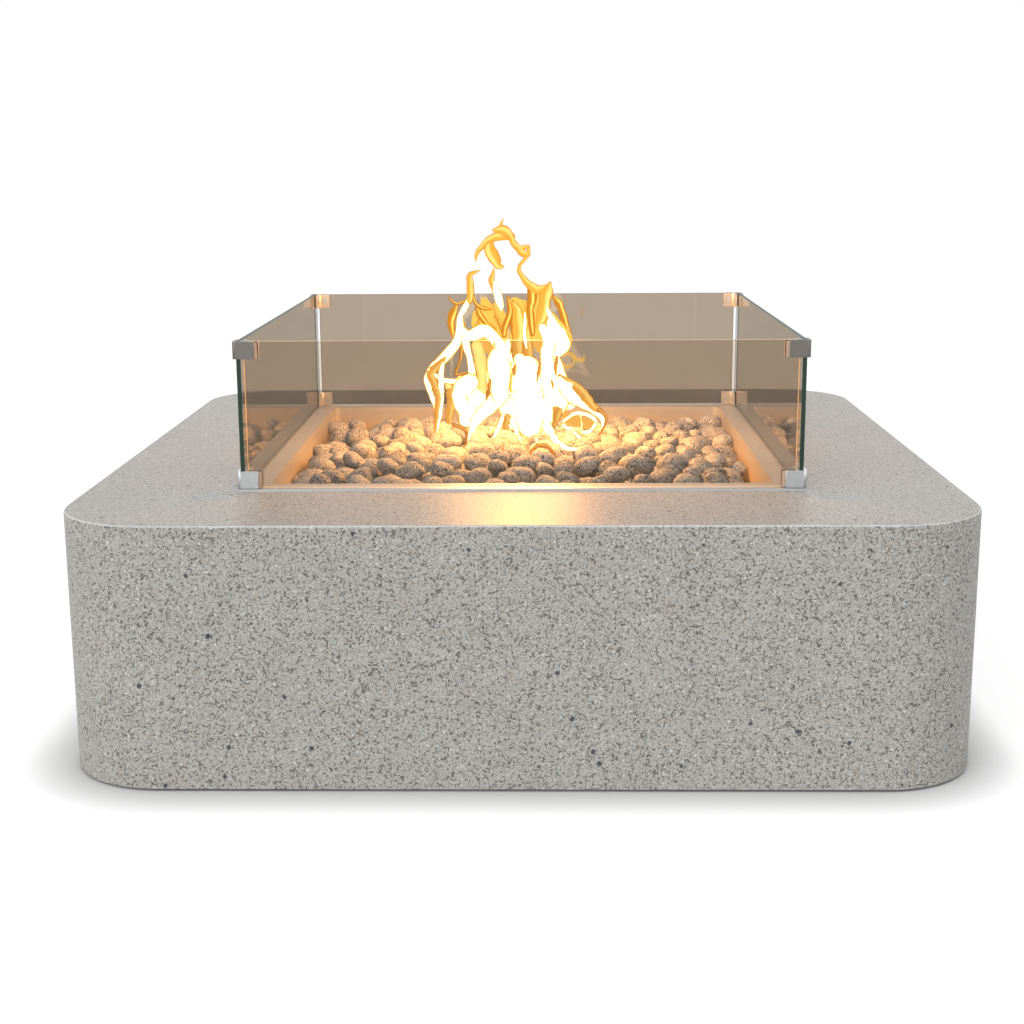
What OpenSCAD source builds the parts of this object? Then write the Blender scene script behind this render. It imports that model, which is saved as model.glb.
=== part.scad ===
/* [Stone body] */
// Width of the stone body, side to side
body_w = 1220; // [1000:5:1500]
// Depth of the stone body, front to back
body_d = 1220; // [1000:5:1500]
// Height of the stone body above its pads
body_h = 353; // [330:1:450]
// Radius of the body's upright corners
body_corner_r = 135; // [60:1:200]
// Radius of the eased edge round the top
top_ease = 4; // [2:0.5:10]
// Thickness of the side walls
wall_t = 32; // [24:1:45]
// Thickness of the top slab
top_t = 38; // [28:1:50]

/* [Rubber pads] */
// Length of a pad under the wall's rim
pad_l = 90; // [40:1:150]
// Width of a pad
pad_w = 18; // [12:1:24]
// Thickness of a pad
pad_t = 3; // [2:0.5:8]
// Distance of each pad from the middle of its side
pad_offset = 330; // [150:5:340]

/* [Burner pan] */
// Width of the pan's opening
pan_w = 710; // [600:1:760]
// Depth of the pan's opening, front to back
pan_d = 710; // [600:1:760]
// Depth of the pan from the top of its flange to its floor
pan_depth = 64; // [50:1:80]
// Radius of the pan's inside corners
pan_corner_r = 14; // [8:1:30]
// Thickness of the pan's sheet
sheet_t = 1.5; // [1:0.1:3]
// Width of the flange that lies on the stone
flange_w = 40; // [36:1:50]
// Height of the flange's top above the stone
flange_rise = 3; // [2:0.5:6]
// Play between the pan and the edge of the stone's cut-out
cutout_play = 4; // [2:0.5:8]
// Diameter of a drain hole in the pan's floor
drain_d = 8; // [4:0.5:12]
// Distance of the drain holes from the pan's walls
drain_inset = 70; // [40:1:120]

/* [Burner] */
// Width of the burner over its two arms
burner_w = 300; // [220:1:400]
// Length of each arm, front to back
arm_l = 300; // [200:1:400]
// Outer diameter of the burner's tubes
tube_d = 16; // [12:0.5:20]
// Wall thickness of the burner's tubes
tube_wall = 1.2; // [0.8:0.1:2]
// Width of the square hub that feeds the tubes
hub_w = 36; // [32:1:44]
// Height of the hub
hub_h = 26; // [24:1:30]
// Diameter of a flame port
port_d = 2.4; // [1.5:0.1:4]
// Distance between flame ports
port_pitch = 20; // [12:1:40]
// Length of an end cap
cap_l = 9; // [6:0.5:15]
// Thickness of an end cap's skirt
cap_wall = 1; // [0.6:0.1:2]

/* [Gas line] */
// Outer diameter of the pipe nipple
nipple_d = 21.3; // [18:0.1:24]
// Wall thickness of the pipe nipple
nipple_wall = 2.6; // [1.5:0.1:4]
// Length of the nipple below the pan
nipple_drop = 40; // [30:1:50]
// Thickness of the washer under the pan
washer_t = 2; // [1:0.5:4]
// Outer diameter of the washer under the pan
washer_d = 44; // [36:1:60]
// Height of the lock nut on the nipple
lock_nut_h = 9; // [6:0.5:12]
// Height of the brass adapter under the nipple
adapter_h = 24; // [20:1:30]
// Depth to which a pipe screws into its fitting
thread_l = 10; // [6:0.5:12]
// Height of each nut that holds the hose
hose_nut_h = 13; // [10:0.5:18]
// Outer diameter of the hose over its ribs
hose_d = 16; // [12:0.5:20]
// Bore of the hose
hose_bore = 10; // [8:0.5:11]
// Height of a rib above the hose's wall
rib_h = 1.6; // [0.8:0.1:2.5]
// Distance between ribs
rib_pitch = 6; // [5:0.5:10]
// Radius of the hose's bends, at its middle
bend_r = 40; // [30:1:50]
// Straight length of the hose above the valve
hose_rise = 8; // [5:0.5:15]

/* [Gas valve] */
// Height of the valve's spindle above the ground
valve_z = 70; // [60:1:80]
// Distance from the wall's inner face to the valve's middle
valve_standoff = 45; // [35:1:60]
// Diameter of the valve's ball
ball_d = 21.6; // [19:0.1:24]
// Diameter of the gas way through the ball
ball_bore = 11; // [8:0.5:12]
// Running clearance round the ball and the stem
running_gap = 0.3; // [0.2:0.05:0.5]
// Length of the valve body along the gas way
valve_l = 56; // [50:1:70]
// Diameter of the threaded bonnet that goes through the wall
bonnet_d = 28; // [26:0.5:34]
// Bore of the bonnet round the stem's square end
bonnet_bore = 18; // [15:0.5:20]
// Bore at the bonnet's mouth, which guides the key
key_bore_d = 21; // [19:0.5:23]
// Depth of the key's bore
key_bore_l = 12; // [8:0.5:20]
// Diameter of the stem
stem_d = 10; // [8:0.5:12]
// Width of the stem's square end
square_w = 8; // [6:0.5:9]
// Length of the stem's square end
square_l = 16; // [10:0.5:20]
// Depth of the gland round the stem
gland_l = 8; // [5:0.5:12]
// Height of the nut that holds the bonnet to the wall
bonnet_nut_h = 10; // [6:0.5:14]
// Diameter of the escutcheon on the outside of the wall
escutcheon_d = 68; // [50:1:90]
// Thickness of the escutcheon
escutcheon_t = 4; // [2.5:0.5:6]
// Thickness of the gasket behind the escutcheon
gasket_t = 1.5; // [1:0.5:3]
// Outer diameter of the gas inlet's male end
inlet_d = 16; // [12:0.5:18]
// Length of the gas inlet's male end
inlet_l = 14; // [10:0.5:20]

/* [Vents] */
// Width of a vent plate
vent_w = 260; // [160:1:320]
// Height of a vent plate
vent_h = 92; // [60:1:120]
// Height of a vent's middle above the ground
vent_z = 110; // [90:1:150]
// Thickness of a vent plate
vent_t = 2; // [1:0.5:4]
// Depth of the vent plate's face below the stone's face
vent_recess = 1.5; // [1:0.5:4]
// Width of the vent plate's rim, which lies on the stone
vent_rim = 14; // [10:0.5:20]
// Height of one louvre opening
louvre_gap = 7; // [5:0.5:12]
// Distance between louvres
louvre_pitch = 12; // [10:0.5:20]
// Depth of a louvre blade behind the plate
louvre_depth = 9; // [5:0.5:12]
// Slope of the louvre blades, in degrees
louvre_slope = 40; // [20:1:50]
// Diameter of a vent screw
vent_screw_d = 4; // [3:0.5:5]
// Length of a vent screw
vent_screw_l = 14; // [10:1:20]

/* [Wind guard] */
// Height of the glass panels
glass_h = 203; // [150:1:300]
// Thickness of the glass panels
glass_t = 6; // [5:0.5:8]
// Radius of the glass panels' corners
glass_corner_r = 3; // [1:0.5:8]
// Distance from the flange's edge to the guard's outer face
guard_inset = 0; // [0:0.5:10]
// Height of a corner clamp
clamp_h = 24; // [18:0.5:40]
// Length of a clamp's outer leg
clamp_leg = 30; // [26:0.5:45]
// Thickness of a clamp's outer wall
clamp_wall = 4; // [3:0.5:6]
// Radius of a clamp's outer corner
clamp_corner_r = 5; // [3:0.5:12]
// Thickness of the floor under the glass in a lower clamp
clamp_floor = 1.5; // [1:0.1:3]
// How far a clamp's jaw reaches past the outer leg
jaw_overhang = 4.5; // [1:0.5:8]
// Thickness of a clamp's jaw
jaw_t = 3.5; // [2.5:0.5:6]
// Width of the raised lip at the jaw's end
lip_w = 3.5; // [2:0.5:5]
// Height of the raised lip above the jaw
lip_h = 1.5; // [0.5:0.5:3]
// Thickness of the web that joins a clamp's jaw to its outer wall
web_t = 3; // [2.5:0.5:6]
// Play on each side of the web
web_play = 0.6; // [0.3:0.1:1.5]
// Radius of the round post inside a clamp's corner
post_r = 4; // [3:0.5:6]
// Thickness of the liner between a clamp and the glass
liner_t = 0.8; // [0.5:0.1:2]
// How far a liner shows past a clamp's outer leg
liner_reach = 4; // [0:0.5:6]
// Thickness of the rubber pad under a clamp's screw
grip_t = 1.2; // [0.8:0.1:3]
// Width of the rubber pad under a clamp's screw
grip_w = 10; // [8:0.5:14]
// Diameter of a clamp's screw
clamp_screw_d = 4.8; // [4:0.1:6]
// Diameter of a clamp screw's head
clamp_head_d = 8; // [7:0.1:9]
// Height of a clamp screw's head
clamp_head_h = 2.2; // [1.5:0.1:4]
// Thickness of the silicone feet under the guard
guard_foot_t = 1; // [0.5:0.1:3]
// Diameter of the silicone feet under the guard
guard_foot_d = 11; // [6:0.5:14]

/* [Lava stones] */
// Half length of the largest stones
stone_big = 30; // [26:0.5:34]
// Half length of the smallest stones
stone_small = 17; // [15:0.5:24]
// Number of stones that are tried in the pan
stone_tries = 2000; // [200:10:2400]
// Start of the random draw
stone_seed = 7; // [1:1:99]
// Gap left between stones, and under them
stone_gap = 0.5; // [0.3:0.1:0.8]
// Depth of the stones' tops below the flange along the walls
edge_depth = 15; // [10:1:22]
// Height of the stones' tops above the flange in the middle
mound_rise = 12; // [0:1:20]

/* [Hidden] */
$fn = 48;

// A cut runs this far past the face that it opens
past = 1;
// Play round a thread or a screw's shank
thread_play = 0.1;

// Heights, counted from the ground
stone_top = pad_t + body_h;
flange_top = stone_top + flange_rise;
pan_floor = flange_top - pan_depth;
pan_under = pan_floor - sheet_t;

// Burner
arm_x = (burner_w - tube_d) / 2;
tube_r = tube_d / 2;
tube_in = tube_r - tube_wall;
tube_z = pan_floor + hub_h / 2;
hub_way_d = nipple_d - 2 * nipple_wall;

// Gas line, down from the pan and along to the valve
nipple_end = pan_under - nipple_drop;
adapter_top = nipple_end + thread_l;
adapter_end = adapter_top - adapter_h;
hose_top = adapter_end - hose_nut_h;
valve_y = body_d / 2 - wall_t - valve_standoff;
valve_out = valve_z + valve_l / 2;
hose_low = valve_out + hose_nut_h;
run_z = hose_low + hose_rise + bend_r;

// Valve, along its spindle from the middle of the ball
ball_r = ball_d / 2;
cavity_r = ball_r + running_gap;
escutcheon_face = vent_recess;
bonnet_end = valve_standoff + wall_t - escutcheon_face;
ball_flat = ball_r - 1.4;
tongue_t = 3;
tongue_h = 2;
gland_start = cavity_r + 3;
stem_end = bonnet_end - key_bore_l - 2;

// Guard and clamps, measured in from the guard's outer face
guard_w = pan_w + 2 * flange_w - 2 * guard_inset;
guard_d = pan_d + 2 * flange_w - 2 * guard_inset;
guard_bottom = flange_top + guard_foot_t;
glass_bottom = guard_bottom + clamp_floor;
glass_top = glass_bottom + glass_h;
glass_out = clamp_wall + liner_t;
glass_in = glass_out + glass_t;
jaw_out = glass_in + grip_t;
jaw_in = jaw_out + jaw_t;
web_start = glass_in + web_play;
panel_end = web_start + web_t + web_play;
jaw_end = clamp_leg + jaw_overhang;
// Each screw is midway between the post and the lip, so its head lies flat on the jaw
grip_x = (jaw_out + 2 * post_r + jaw_end - lip_w) / 2;

module rounded_block(w, d, h, r) {
    translate([-w / 2 + r, -d / 2, 0]) cube([w - 2 * r, d, h]);
    translate([-w / 2, -d / 2 + r, 0]) cube([w, d - 2 * r, h]);
    for (x = [-1, 1], y = [-1, 1])
        translate([x * (w / 2 - r), y * (d / 2 - r), 0]) cylinder(r = r, h = h);
}

module rounded_sheet(w, h, r) {
    translate([-w / 2 + r, 0]) square([w - 2 * r, h]);
    translate([-w / 2, r]) square([w, h - 2 * r]);
    for (x = [-1, 1], y = [r, h - r]) translate([x * (w / 2 - r), y]) circle(r = r);
}

// Half of a section through the body, with its eased upper edge
module eased_half(reach, h, ease) {
    square([reach, h - ease]);
    square([reach - ease, h]);
    translate([reach - ease, h - ease]) circle(r = ease);
}

module eased_bar(w, l, h, ease) {
    rotate([90, 0, 0]) linear_extrude(l, center = true) {
        eased_half(w / 2, h, ease);
        mirror([1, 0]) eased_half(w / 2, h, ease);
    }
}

module eased_block(w, d, h, r, ease) {
    eased_bar(w, d - 2 * r, h, ease);
    rotate([0, 0, 90]) eased_bar(d, w - 2 * r, h, ease);
    for (x = [-1, 1], y = [-1, 1])
        translate([x * (w / 2 - r), y * (d / 2 - r), 0])
            rotate_extrude($fn = 96) eased_half(r, h, ease);
}

module ring(outer, inner, h) {
    difference() {
        cylinder(d = outer, h = h);
        translate([0, 0, -past]) cylinder(d = inner, h = h + 2 * past);
    }
}

module hex_nut(across, inner, h) {
    difference() {
        cylinder(d = across / cos(30), h = h, $fn = 6);
        translate([0, 0, -past]) cylinder(d = inner, h = h + 2 * past);
    }
}

// Places of the four vent screws on a plate that faces +X
module at_vent_screws() {
    for (y = [-1, 1], z = [-1, 1])
        translate([0, y * (vent_w - vent_rim) / 2, vent_z + z * (vent_h - vent_rim) / 2])
            rotate([0, 90, 0]) children();
}

// The stone behind a vent on the +X side: the rebate, the air way and the screw holes
module vent_cuts() {
    rebate = vent_recess + vent_t;
    air_w = vent_w - 2 * vent_rim;
    air_h = vent_h - 2 * vent_rim;
    translate([body_w / 2 - rebate, -vent_w / 2, vent_z - vent_h / 2])
        cube([rebate + past, vent_w, vent_h]);
    translate([body_w / 2 - wall_t - past, -air_w / 2, vent_z - air_h / 2])
        cube([wall_t + past, air_w, air_h]);
    translate([body_w / 2 - rebate - vent_screw_l, 0, 0])
        at_vent_screws() cylinder(d = vent_screw_d + 2 * thread_play, h = vent_screw_l + past);
}

module at_valve() {
    translate([0, valve_y, valve_z]) rotate([-90, 0, 0]) children();
}

module stone_shell() color([0.66, 0.65, 0.63]) difference() {
    hole = 2 * (sheet_t + cutout_play);
    translate([0, 0, pad_t]) eased_block(body_w, body_d, body_h, body_corner_r, top_ease);
    translate([0, 0, pad_t - past])
        rounded_block(body_w - 2 * wall_t, body_d - 2 * wall_t, body_h - top_t + past,
                      body_corner_r - wall_t);
    translate([0, 0, stone_top - top_t - past])
        rounded_block(pan_w + hole, pan_d + hole, top_t + 2 * past, pan_corner_r + hole / 2);
    vent_cuts();
    mirror([1, 0, 0]) vent_cuts();
    at_valve() {
        cylinder(d = bonnet_d + 2, h = bonnet_end + past);
        translate([0, 0, bonnet_end - escutcheon_t - gasket_t])
            cylinder(d = escutcheon_d + 2, h = wall_t);
    }
}

// The pads lie along the inner edge of the walls' rim, out of sight
module rubber_pads() color([0.12, 0.12, 0.12]) for (turn = [0:90:270]) rotate([0, 0, turn]) {
    reach = (turn % 180 == 0 ? body_d : body_w) / 2;
    for (x = [-pad_offset, pad_offset]) translate([x, wall_t - 1 - pad_w / 2 - reach, 0]) {
        translate([-pad_l / 2 + pad_w / 2, -pad_w / 2, 0]) cube([pad_l - pad_w, pad_w, pad_t]);
        for (e = [-1, 1])
            translate([e * (pad_l - pad_w) / 2, 0, 0]) cylinder(d = pad_w, h = pad_t);
    }
}

module burner_pan() color([0.72, 0.7, 0.68]) difference() {
    outer_r = pan_corner_r + sheet_t;
    flange_edge_r = 2;
    union() {
        translate([0, 0, pan_under])
            rounded_block(pan_w + 2 * sheet_t, pan_d + 2 * sheet_t, flange_top - pan_under, outer_r);
        difference() {
            translate([0, 0, stone_top])
                rounded_block(pan_w + 2 * flange_w, pan_d + 2 * flange_w, flange_rise, flange_edge_r);
            translate([0, 0, stone_top - past])
                rounded_block(pan_w + 2 * flange_w - 2 * sheet_t, pan_d + 2 * flange_w - 2 * sheet_t,
                              flange_rise - sheet_t + past, flange_edge_r);
        }
    }
    translate([0, 0, pan_floor]) rounded_block(pan_w, pan_d, pan_depth + past, pan_corner_r);
    translate([0, 0, pan_under - past])
        cylinder(d = nipple_d + 2 * thread_play, h = sheet_t + 2 * past);
    for (x = [-1, 0, 1], y = [-1, 0, 1]) if (x != 0 || y != 0)
        translate([x * (pan_w / 2 - drain_inset), y * (pan_d / 2 - drain_inset), pan_under - past])
            cylinder(d = drain_d, h = sheet_t + 2 * past);
}

module burner_hub() color([0.66, 0.66, 0.67]) difference() {
    translate([0, 0, pan_floor]) rounded_block(hub_w, hub_w, hub_h, 4);
    translate([0, 0, pan_floor - past]) cylinder(d = nipple_d + 2 * thread_play, h = thread_l + past);
    translate([0, 0, pan_floor]) cylinder(d = hub_way_d, h = hub_h / 2);
    translate([-hub_w, 0, tube_z]) rotate([0, 90, 0]) cylinder(r = tube_in, h = 2 * hub_w);
}

// The tube between the hub and the arm on the +X side, coped to the arm
module crossbar() color([0.7, 0.7, 0.71]) difference() {
    translate([hub_w / 2, 0, tube_z]) rotate([0, 90, 0]) cylinder(r = tube_r, h = arm_x - hub_w / 2);
    translate([0, 0, tube_z]) rotate([0, 90, 0]) cylinder(r = tube_in, h = burner_w);
    translate([arm_x, 0, tube_z]) rotate([90, 0, 0]) cylinder(r = tube_r, h = arm_l, center = true);
    for (x = [hub_w / 2 + port_pitch / 2 : port_pitch : arm_x - tube_d])
        translate([x, 0, tube_z]) cylinder(d = port_d, h = tube_d);
}

module burner_arm() color([0.7, 0.7, 0.71]) difference() {
    run = arm_l - 2 * cap_wall;
    ports = floor((arm_l / 2 - cap_l - port_pitch / 2) / port_pitch);
    translate([arm_x, 0, tube_z]) rotate([90, 0, 0]) cylinder(r = tube_r, h = run, center = true);
    translate([arm_x, 0, tube_z]) rotate([90, 0, 0]) cylinder(r = tube_in, h = arm_l, center = true);
    translate([0, 0, tube_z]) rotate([0, 90, 0]) cylinder(r = tube_in, h = arm_x);
    for (i = [-ports : ports]) translate([arm_x, i * port_pitch, tube_z]) cylinder(d = port_d, h = tube_d);
}

module burner_end_caps() color([0.6, 0.6, 0.62]) for (x = [-arm_x, arm_x], y = [-1, 1])
    translate([x, y * arm_l / 2, tube_z]) rotate([y * 90, 0, 0]) difference() {
        cylinder(r = tube_r + cap_wall, h = cap_l);
        translate([0, 0, cap_wall]) cylinder(r = tube_r + thread_play, h = cap_l);
    }

module gas_nipple() color([0.55, 0.55, 0.56]) translate([0, 0, nipple_end])
    ring(nipple_d, nipple_d - 2 * nipple_wall, pan_floor + thread_l - nipple_end);

module nipple_washer() color([0.75, 0.75, 0.76]) translate([0, 0, pan_under - washer_t])
    ring(washer_d, nipple_d + 2 * thread_play, washer_t);

module nipple_lock_nut() color([0.7, 0.7, 0.7])
    translate([0, 0, pan_under - washer_t - lock_nut_h])
        hex_nut(nipple_d + 11, nipple_d + 2 * thread_play, lock_nut_h);

module hose_adapter() color([0.78, 0.62, 0.3]) translate([0, 0, adapter_end]) difference() {
    hex_nut(nipple_d + 7, hose_bore, adapter_h);
    translate([0, 0, adapter_h - thread_l]) cylinder(d = nipple_d + 2 * thread_play, h = thread_l + past);
}

module hose_nut_upper() color([0.78, 0.62, 0.3]) translate([0, 0, hose_top])
    hex_nut(hose_d + 8, hose_bore, hose_nut_h);

module hose_nut_lower() color([0.78, 0.62, 0.3]) translate([0, valve_y, valve_out])
    hex_nut(hose_d + 8, hose_bore, hose_nut_h);

// Half the section of a straight ribbed tube of length l, with ribs a pitch apart
module ribbed_half(l, lead) {
    wall_r = hose_d / 2 - rib_h;
    ribs = floor((l - 2 * lead) / rib_pitch);
    start = (l - ribs * rib_pitch) / 2;
    translate([hose_bore / 2, 0]) square([wall_r - hose_bore / 2, l]);
    for (i = [0 : ribs - 1]) translate([wall_r, start + i * rib_pitch])
        polygon([[-0.2, 0.1 * rib_pitch], [rib_h, 0.35 * rib_pitch],
                 [rib_h, 0.65 * rib_pitch], [-0.2, 0.9 * rib_pitch]]);
}

// A quarter bend in the YZ plane, from straight down at its start to along +Y
module hose_bend() {
    wall_r = hose_d / 2 - rib_h;
    ribs = floor(bend_r * PI / 2 / rib_pitch);
    rotate([90, 0, 90]) {
        difference() {
            union() {
                rotate_extrude(angle = 90) translate([bend_r, 0]) circle(r = wall_r);
                for (i = [0 : ribs - 1]) rotate([0, 0, 90 * (i + 0.5) / ribs])
                    translate([bend_r, 0, 0]) rotate([90, 0, 0])
                        cylinder(d = hose_d, h = 0.4 * rib_pitch, center = true);
            }
            rotate_extrude(angle = 90) translate([bend_r, 0]) circle(d = hose_bore);
        }
    }
}

module flex_hose() color([0.8, 0.8, 0.82]) {
    drop = hose_top - run_z - bend_r;
    run = valve_y - 2 * bend_r;
    translate([0, 0, run_z + bend_r]) rotate_extrude() ribbed_half(drop, 4);
    translate([0, bend_r, run_z]) rotate([-90, 0, 0]) rotate_extrude() ribbed_half(run, 4);
    translate([0, valve_y, hose_low]) rotate_extrude() ribbed_half(hose_rise, 4);
    translate([0, bend_r, run_z + bend_r]) rotate([0, 0, 180]) mirror([0, 0, 1]) hose_bend();
    translate([0, valve_y - bend_r, run_z - bend_r]) hose_bend();
}

// The valve is drawn along its spindle: +Z here points out through the rear wall
module valve_body() color([0.8, 0.64, 0.32]) at_valve() difference() {
    union() {
        sphere(r = cavity_r + 3);
        rotate([90, 0, 0]) cylinder(r = 13, h = valve_l, center = true);
        for (side = [-1, 1]) translate([0, side * (valve_l / 2 - 6), 0])
            rotate([90, 0, 0]) cylinder(d = 28 / cos(30), h = 12, center = true, $fn = 6);
        cylinder(d = bonnet_d, h = bonnet_end);
    }
    sphere(r = cavity_r);
    rotate([90, 0, 0]) cylinder(d = ball_bore, h = valve_l + 2 * past, center = true);
    cylinder(d = stem_d + 2 * running_gap, h = bonnet_end + past);
    translate([0, 0, gland_start]) cylinder(d = bonnet_bore, h = bonnet_end);
    translate([0, 0, bonnet_end - key_bore_l]) cylinder(d = key_bore_d, h = key_bore_l + past);
}

module valve_ball() color([0.85, 0.85, 0.86]) at_valve() difference() {
    sphere(r = ball_r);
    rotate([90, 0, 0]) cylinder(d = ball_bore, h = 2 * ball_d, center = true);
    translate([-ball_d / 2, -ball_d / 2, ball_flat]) cube([ball_d, ball_d, ball_d]);
    translate([-(tongue_t + thread_play) / 2, -ball_d, ball_flat - tongue_h])
        cube([tongue_t + thread_play, 2 * ball_d, ball_d]);
}

module valve_stem() color([0.75, 0.75, 0.76]) at_valve() {
    translate([0, 0, ball_flat]) cylinder(d = stem_d, h = stem_end - square_l - ball_flat);
    translate([-square_w / 2, -square_w / 2, stem_end - square_l]) cube([square_w, square_w, square_l]);
    intersection() {
        translate([-tongue_t / 2, -stem_d / 2, ball_flat - tongue_h])
            cube([tongue_t, stem_d, tongue_h + past]);
        cylinder(d = stem_d, h = ball_r);
    }
}

module stem_gland() color([0.8, 0.64, 0.32]) at_valve() translate([0, 0, gland_start])
    ring(bonnet_bore - 2 * thread_play, stem_d + 2 * running_gap, gland_l);

module bonnet_nut() color([0.8, 0.64, 0.32]) at_valve() translate([0, 0, valve_standoff - bonnet_nut_h])
    hex_nut(bonnet_d + 12, bonnet_d + 2 * thread_play, bonnet_nut_h);

module escutcheon() color([0.8, 0.8, 0.82]) at_valve() translate([0, 0, bonnet_end - escutcheon_t])
    difference() {
        bevel = 1.5;
        union() {
            cylinder(d = escutcheon_d, h = escutcheon_t - bevel);
            translate([0, 0, escutcheon_t - bevel])
                cylinder(d1 = escutcheon_d, d2 = escutcheon_d - 2 * bevel, h = bevel);
        }
        translate([0, 0, -past]) cylinder(d = bonnet_d + 2 * thread_play, h = escutcheon_t + 2 * past);
    }

module escutcheon_gasket() color([0.1, 0.1, 0.1]) at_valve()
    translate([0, 0, bonnet_end - escutcheon_t - gasket_t])
        ring(escutcheon_d - 4, bonnet_d + 2, gasket_t);

// The gas supply's fitting hangs below the valve with its male end down
module gas_inlet_fitting() color([0.8, 0.64, 0.32])
    translate([0, valve_y, valve_z - valve_l / 2]) rotate([180, 0, 0]) {
        hex_l = 9;
        nose = 2.5;
        difference() {
            union() {
                cylinder(d = 22 / cos(30), h = hex_l, $fn = 6);
                cylinder(d = inlet_d, h = hex_l + inlet_l);
                translate([0, 0, hex_l + inlet_l])
                    cylinder(d1 = inlet_d - 2, d2 = inlet_d - 2 - 2 * nose, h = nose);
            }
            translate([0, 0, -past]) cylinder(d = hose_bore - 1, h = hex_l + inlet_l + nose + 2 * past);
        }
    }

// A louvred plate on the +X side: each blade slopes down and in behind its opening
module vent() color([0.7, 0.7, 0.71]) {
    face = body_w / 2 - vent_recess;
    slot_w = vent_w - 2 * vent_rim - 12;
    louvres = floor((vent_h - 2 * vent_rim - louvre_gap) / louvre_pitch);
    blade_l = louvre_depth / cos(louvre_slope);
    difference() {
        translate([face - vent_t, -vent_w / 2 + 0.5, vent_z - vent_h / 2 + 0.5])
            cube([vent_t, vent_w - 1, vent_h - 1]);
        for (i = [0 : louvres]) {
            low = vent_z + (i - louvres / 2) * louvre_pitch - louvre_gap / 2;
            translate([face - 2 * vent_t, -slot_w / 2, low]) cube([3 * vent_t, slot_w, louvre_gap]);
        }
        translate([face - vent_t - past, 0, 0])
            at_vent_screws() cylinder(d = vent_screw_d + 2 * thread_play, h = vent_t + 2 * past);
    }
    for (i = [0 : louvres]) {
        top = vent_z + (i - louvres / 2) * louvre_pitch + louvre_gap / 2;
        translate([face - vent_t + 0.6, 0, top + 0.6]) rotate([0, -louvre_slope, 0])
            translate([-blade_l, -slot_w / 2 - 1, 0]) cube([blade_l, slot_w + 2, 1.2]);
    }
}

module vent_screws() color([0.6, 0.6, 0.62]) for (side = [0, 1]) mirror([side, 0, 0])
    translate([body_w / 2 - vent_recess, 0, 0]) at_vent_screws() {
        head_h = 1.3;
        translate([0, 0, -vent_t - vent_screw_l + 2]) cylinder(d = vent_screw_d, h = vent_t + vent_screw_l - 2);
        difference() {
            cylinder(d = 2 * vent_screw_d, h = head_h);
            translate([0, 0, 0.5]) cylinder(d = 2.6, h = head_h, $fn = 6);
        }
    }

// Stones are tumbled ellipsoids, seated one by one on the floor, the burner and each other.
// A stone's spread is the matrix of squares that gives its reach in any direction.
function transpose(m) = [for (c = [0:2]) [for (r = [0:2]) m[r][c]]];
function turned(yaw, tilt, roll) =
    let (cy = cos(yaw), sy = sin(yaw), ct = cos(tilt), st = sin(tilt), cr = cos(roll), sr = sin(roll))
    [[cy * ct, cy * st * sr - sy * cr, cy * st * cr + sy * sr],
     [sy * ct, sy * st * sr + cy * cr, sy * st * cr - cy * sr],
     [-st, ct * sr, ct * cr]];
function squares(half) = [[half[0] ^ 2, 0, 0], [0, half[1] ^ 2, 0], [0, 0, half[2] ^ 2]];
function spread(half, m) = m * squares(half) * transpose(m);

// Height at which spread a just touches spread b, when it comes down dx, dy off b's middle.
// Every mix of the two spreads gives a height that keeps them apart, so the lowest one counts.
NO_TOUCH = -10000;
function rise_mixed(k, a, b, dx, dy) =
    let (m = (1 - k) * a + k * b,
         c11 = m[1][1] * m[2][2] - m[1][2] ^ 2,
         c12 = m[0][2] * m[1][2] - m[0][1] * m[2][2],
         c13 = m[0][1] * m[1][2] - m[0][2] * m[1][1],
         c22 = m[0][0] * m[2][2] - m[0][2] ^ 2,
         c23 = m[0][1] * m[0][2] - m[0][0] * m[1][2],
         c33 = m[0][0] * m[1][1] - m[0][1] ^ 2,
         det = m[0][0] * c11 + m[0][1] * c12 + m[0][2] * c13,
         lean = c13 * dx + c23 * dy,
         flat = c11 * dx ^ 2 + 2 * c12 * dx * dy + c22 * dy ^ 2 - det / (k * (1 - k)),
         under = lean ^ 2 - c33 * flat)
    under < 0 ? NO_TOUCH : (sqrt(under) - lean) / c33;
mixes = [0.25, 0.35, 0.42, 0.5, 0.58, 0.65, 0.75];
function rise(a, b, dx, dy) = min([for (k = mixes) rise_mixed(k, a, b, dx, dy)]);

// The direction square to both surfaces where a and b touch, with d from b's middle to a's
function facing(a, b, d) =
    let (heights = [for (k = mixes) rise_mixed(k, a, b, d[0], d[1])],
         k = [for (i = [0 : len(mixes) - 1]) if (heights[i] == min(heights)) mixes[i]][0],
         m = (1 - k) * a + k * b)
    cross(m[1], m[2]) * d[0] + cross(m[2], m[0]) * d[1] + cross(m[0], m[1]) * d[2];

// The point of spread a's surface that faces along n
function surface_point(a, n) = a * n / sqrt(n * (a * n));

function frac(x) = x - floor(x);
function kept_in(x, e, w) = max(-w / 2 + e, min(w / 2 - e, x));

// A burner tube or cap is a very long ellipsoid, felt only where the tube really runs.
// Each entry holds its middle, how far it reaches in plan, its spread and which way it runs.
FAR = 4000;
cap_r = tube_r + cap_wall;
burner_bars = concat(
    [[[0, 0, tube_z], [arm_x, tube_r], squares([FAR, tube_r, tube_r]), [0, 1]]],
    [for (x = [-arm_x, arm_x])
        [[x, 0, tube_z], [tube_r, arm_l / 2], squares([tube_r, FAR, tube_r]), [1, 0]]],
    [for (x = [-arm_x, arm_x], y = [-1, 1])
        [[x, y * (arm_l - cap_l) / 2, tube_z], [cap_r, cap_l / 2 + cap_wall],
         squares([cap_r, FAR, cap_r]), [1, 0]]]);
function off_bar(b, x, y) = [(x - b[0][0]) * b[3][0], (y - b[0][1]) * b[3][1]];

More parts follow.
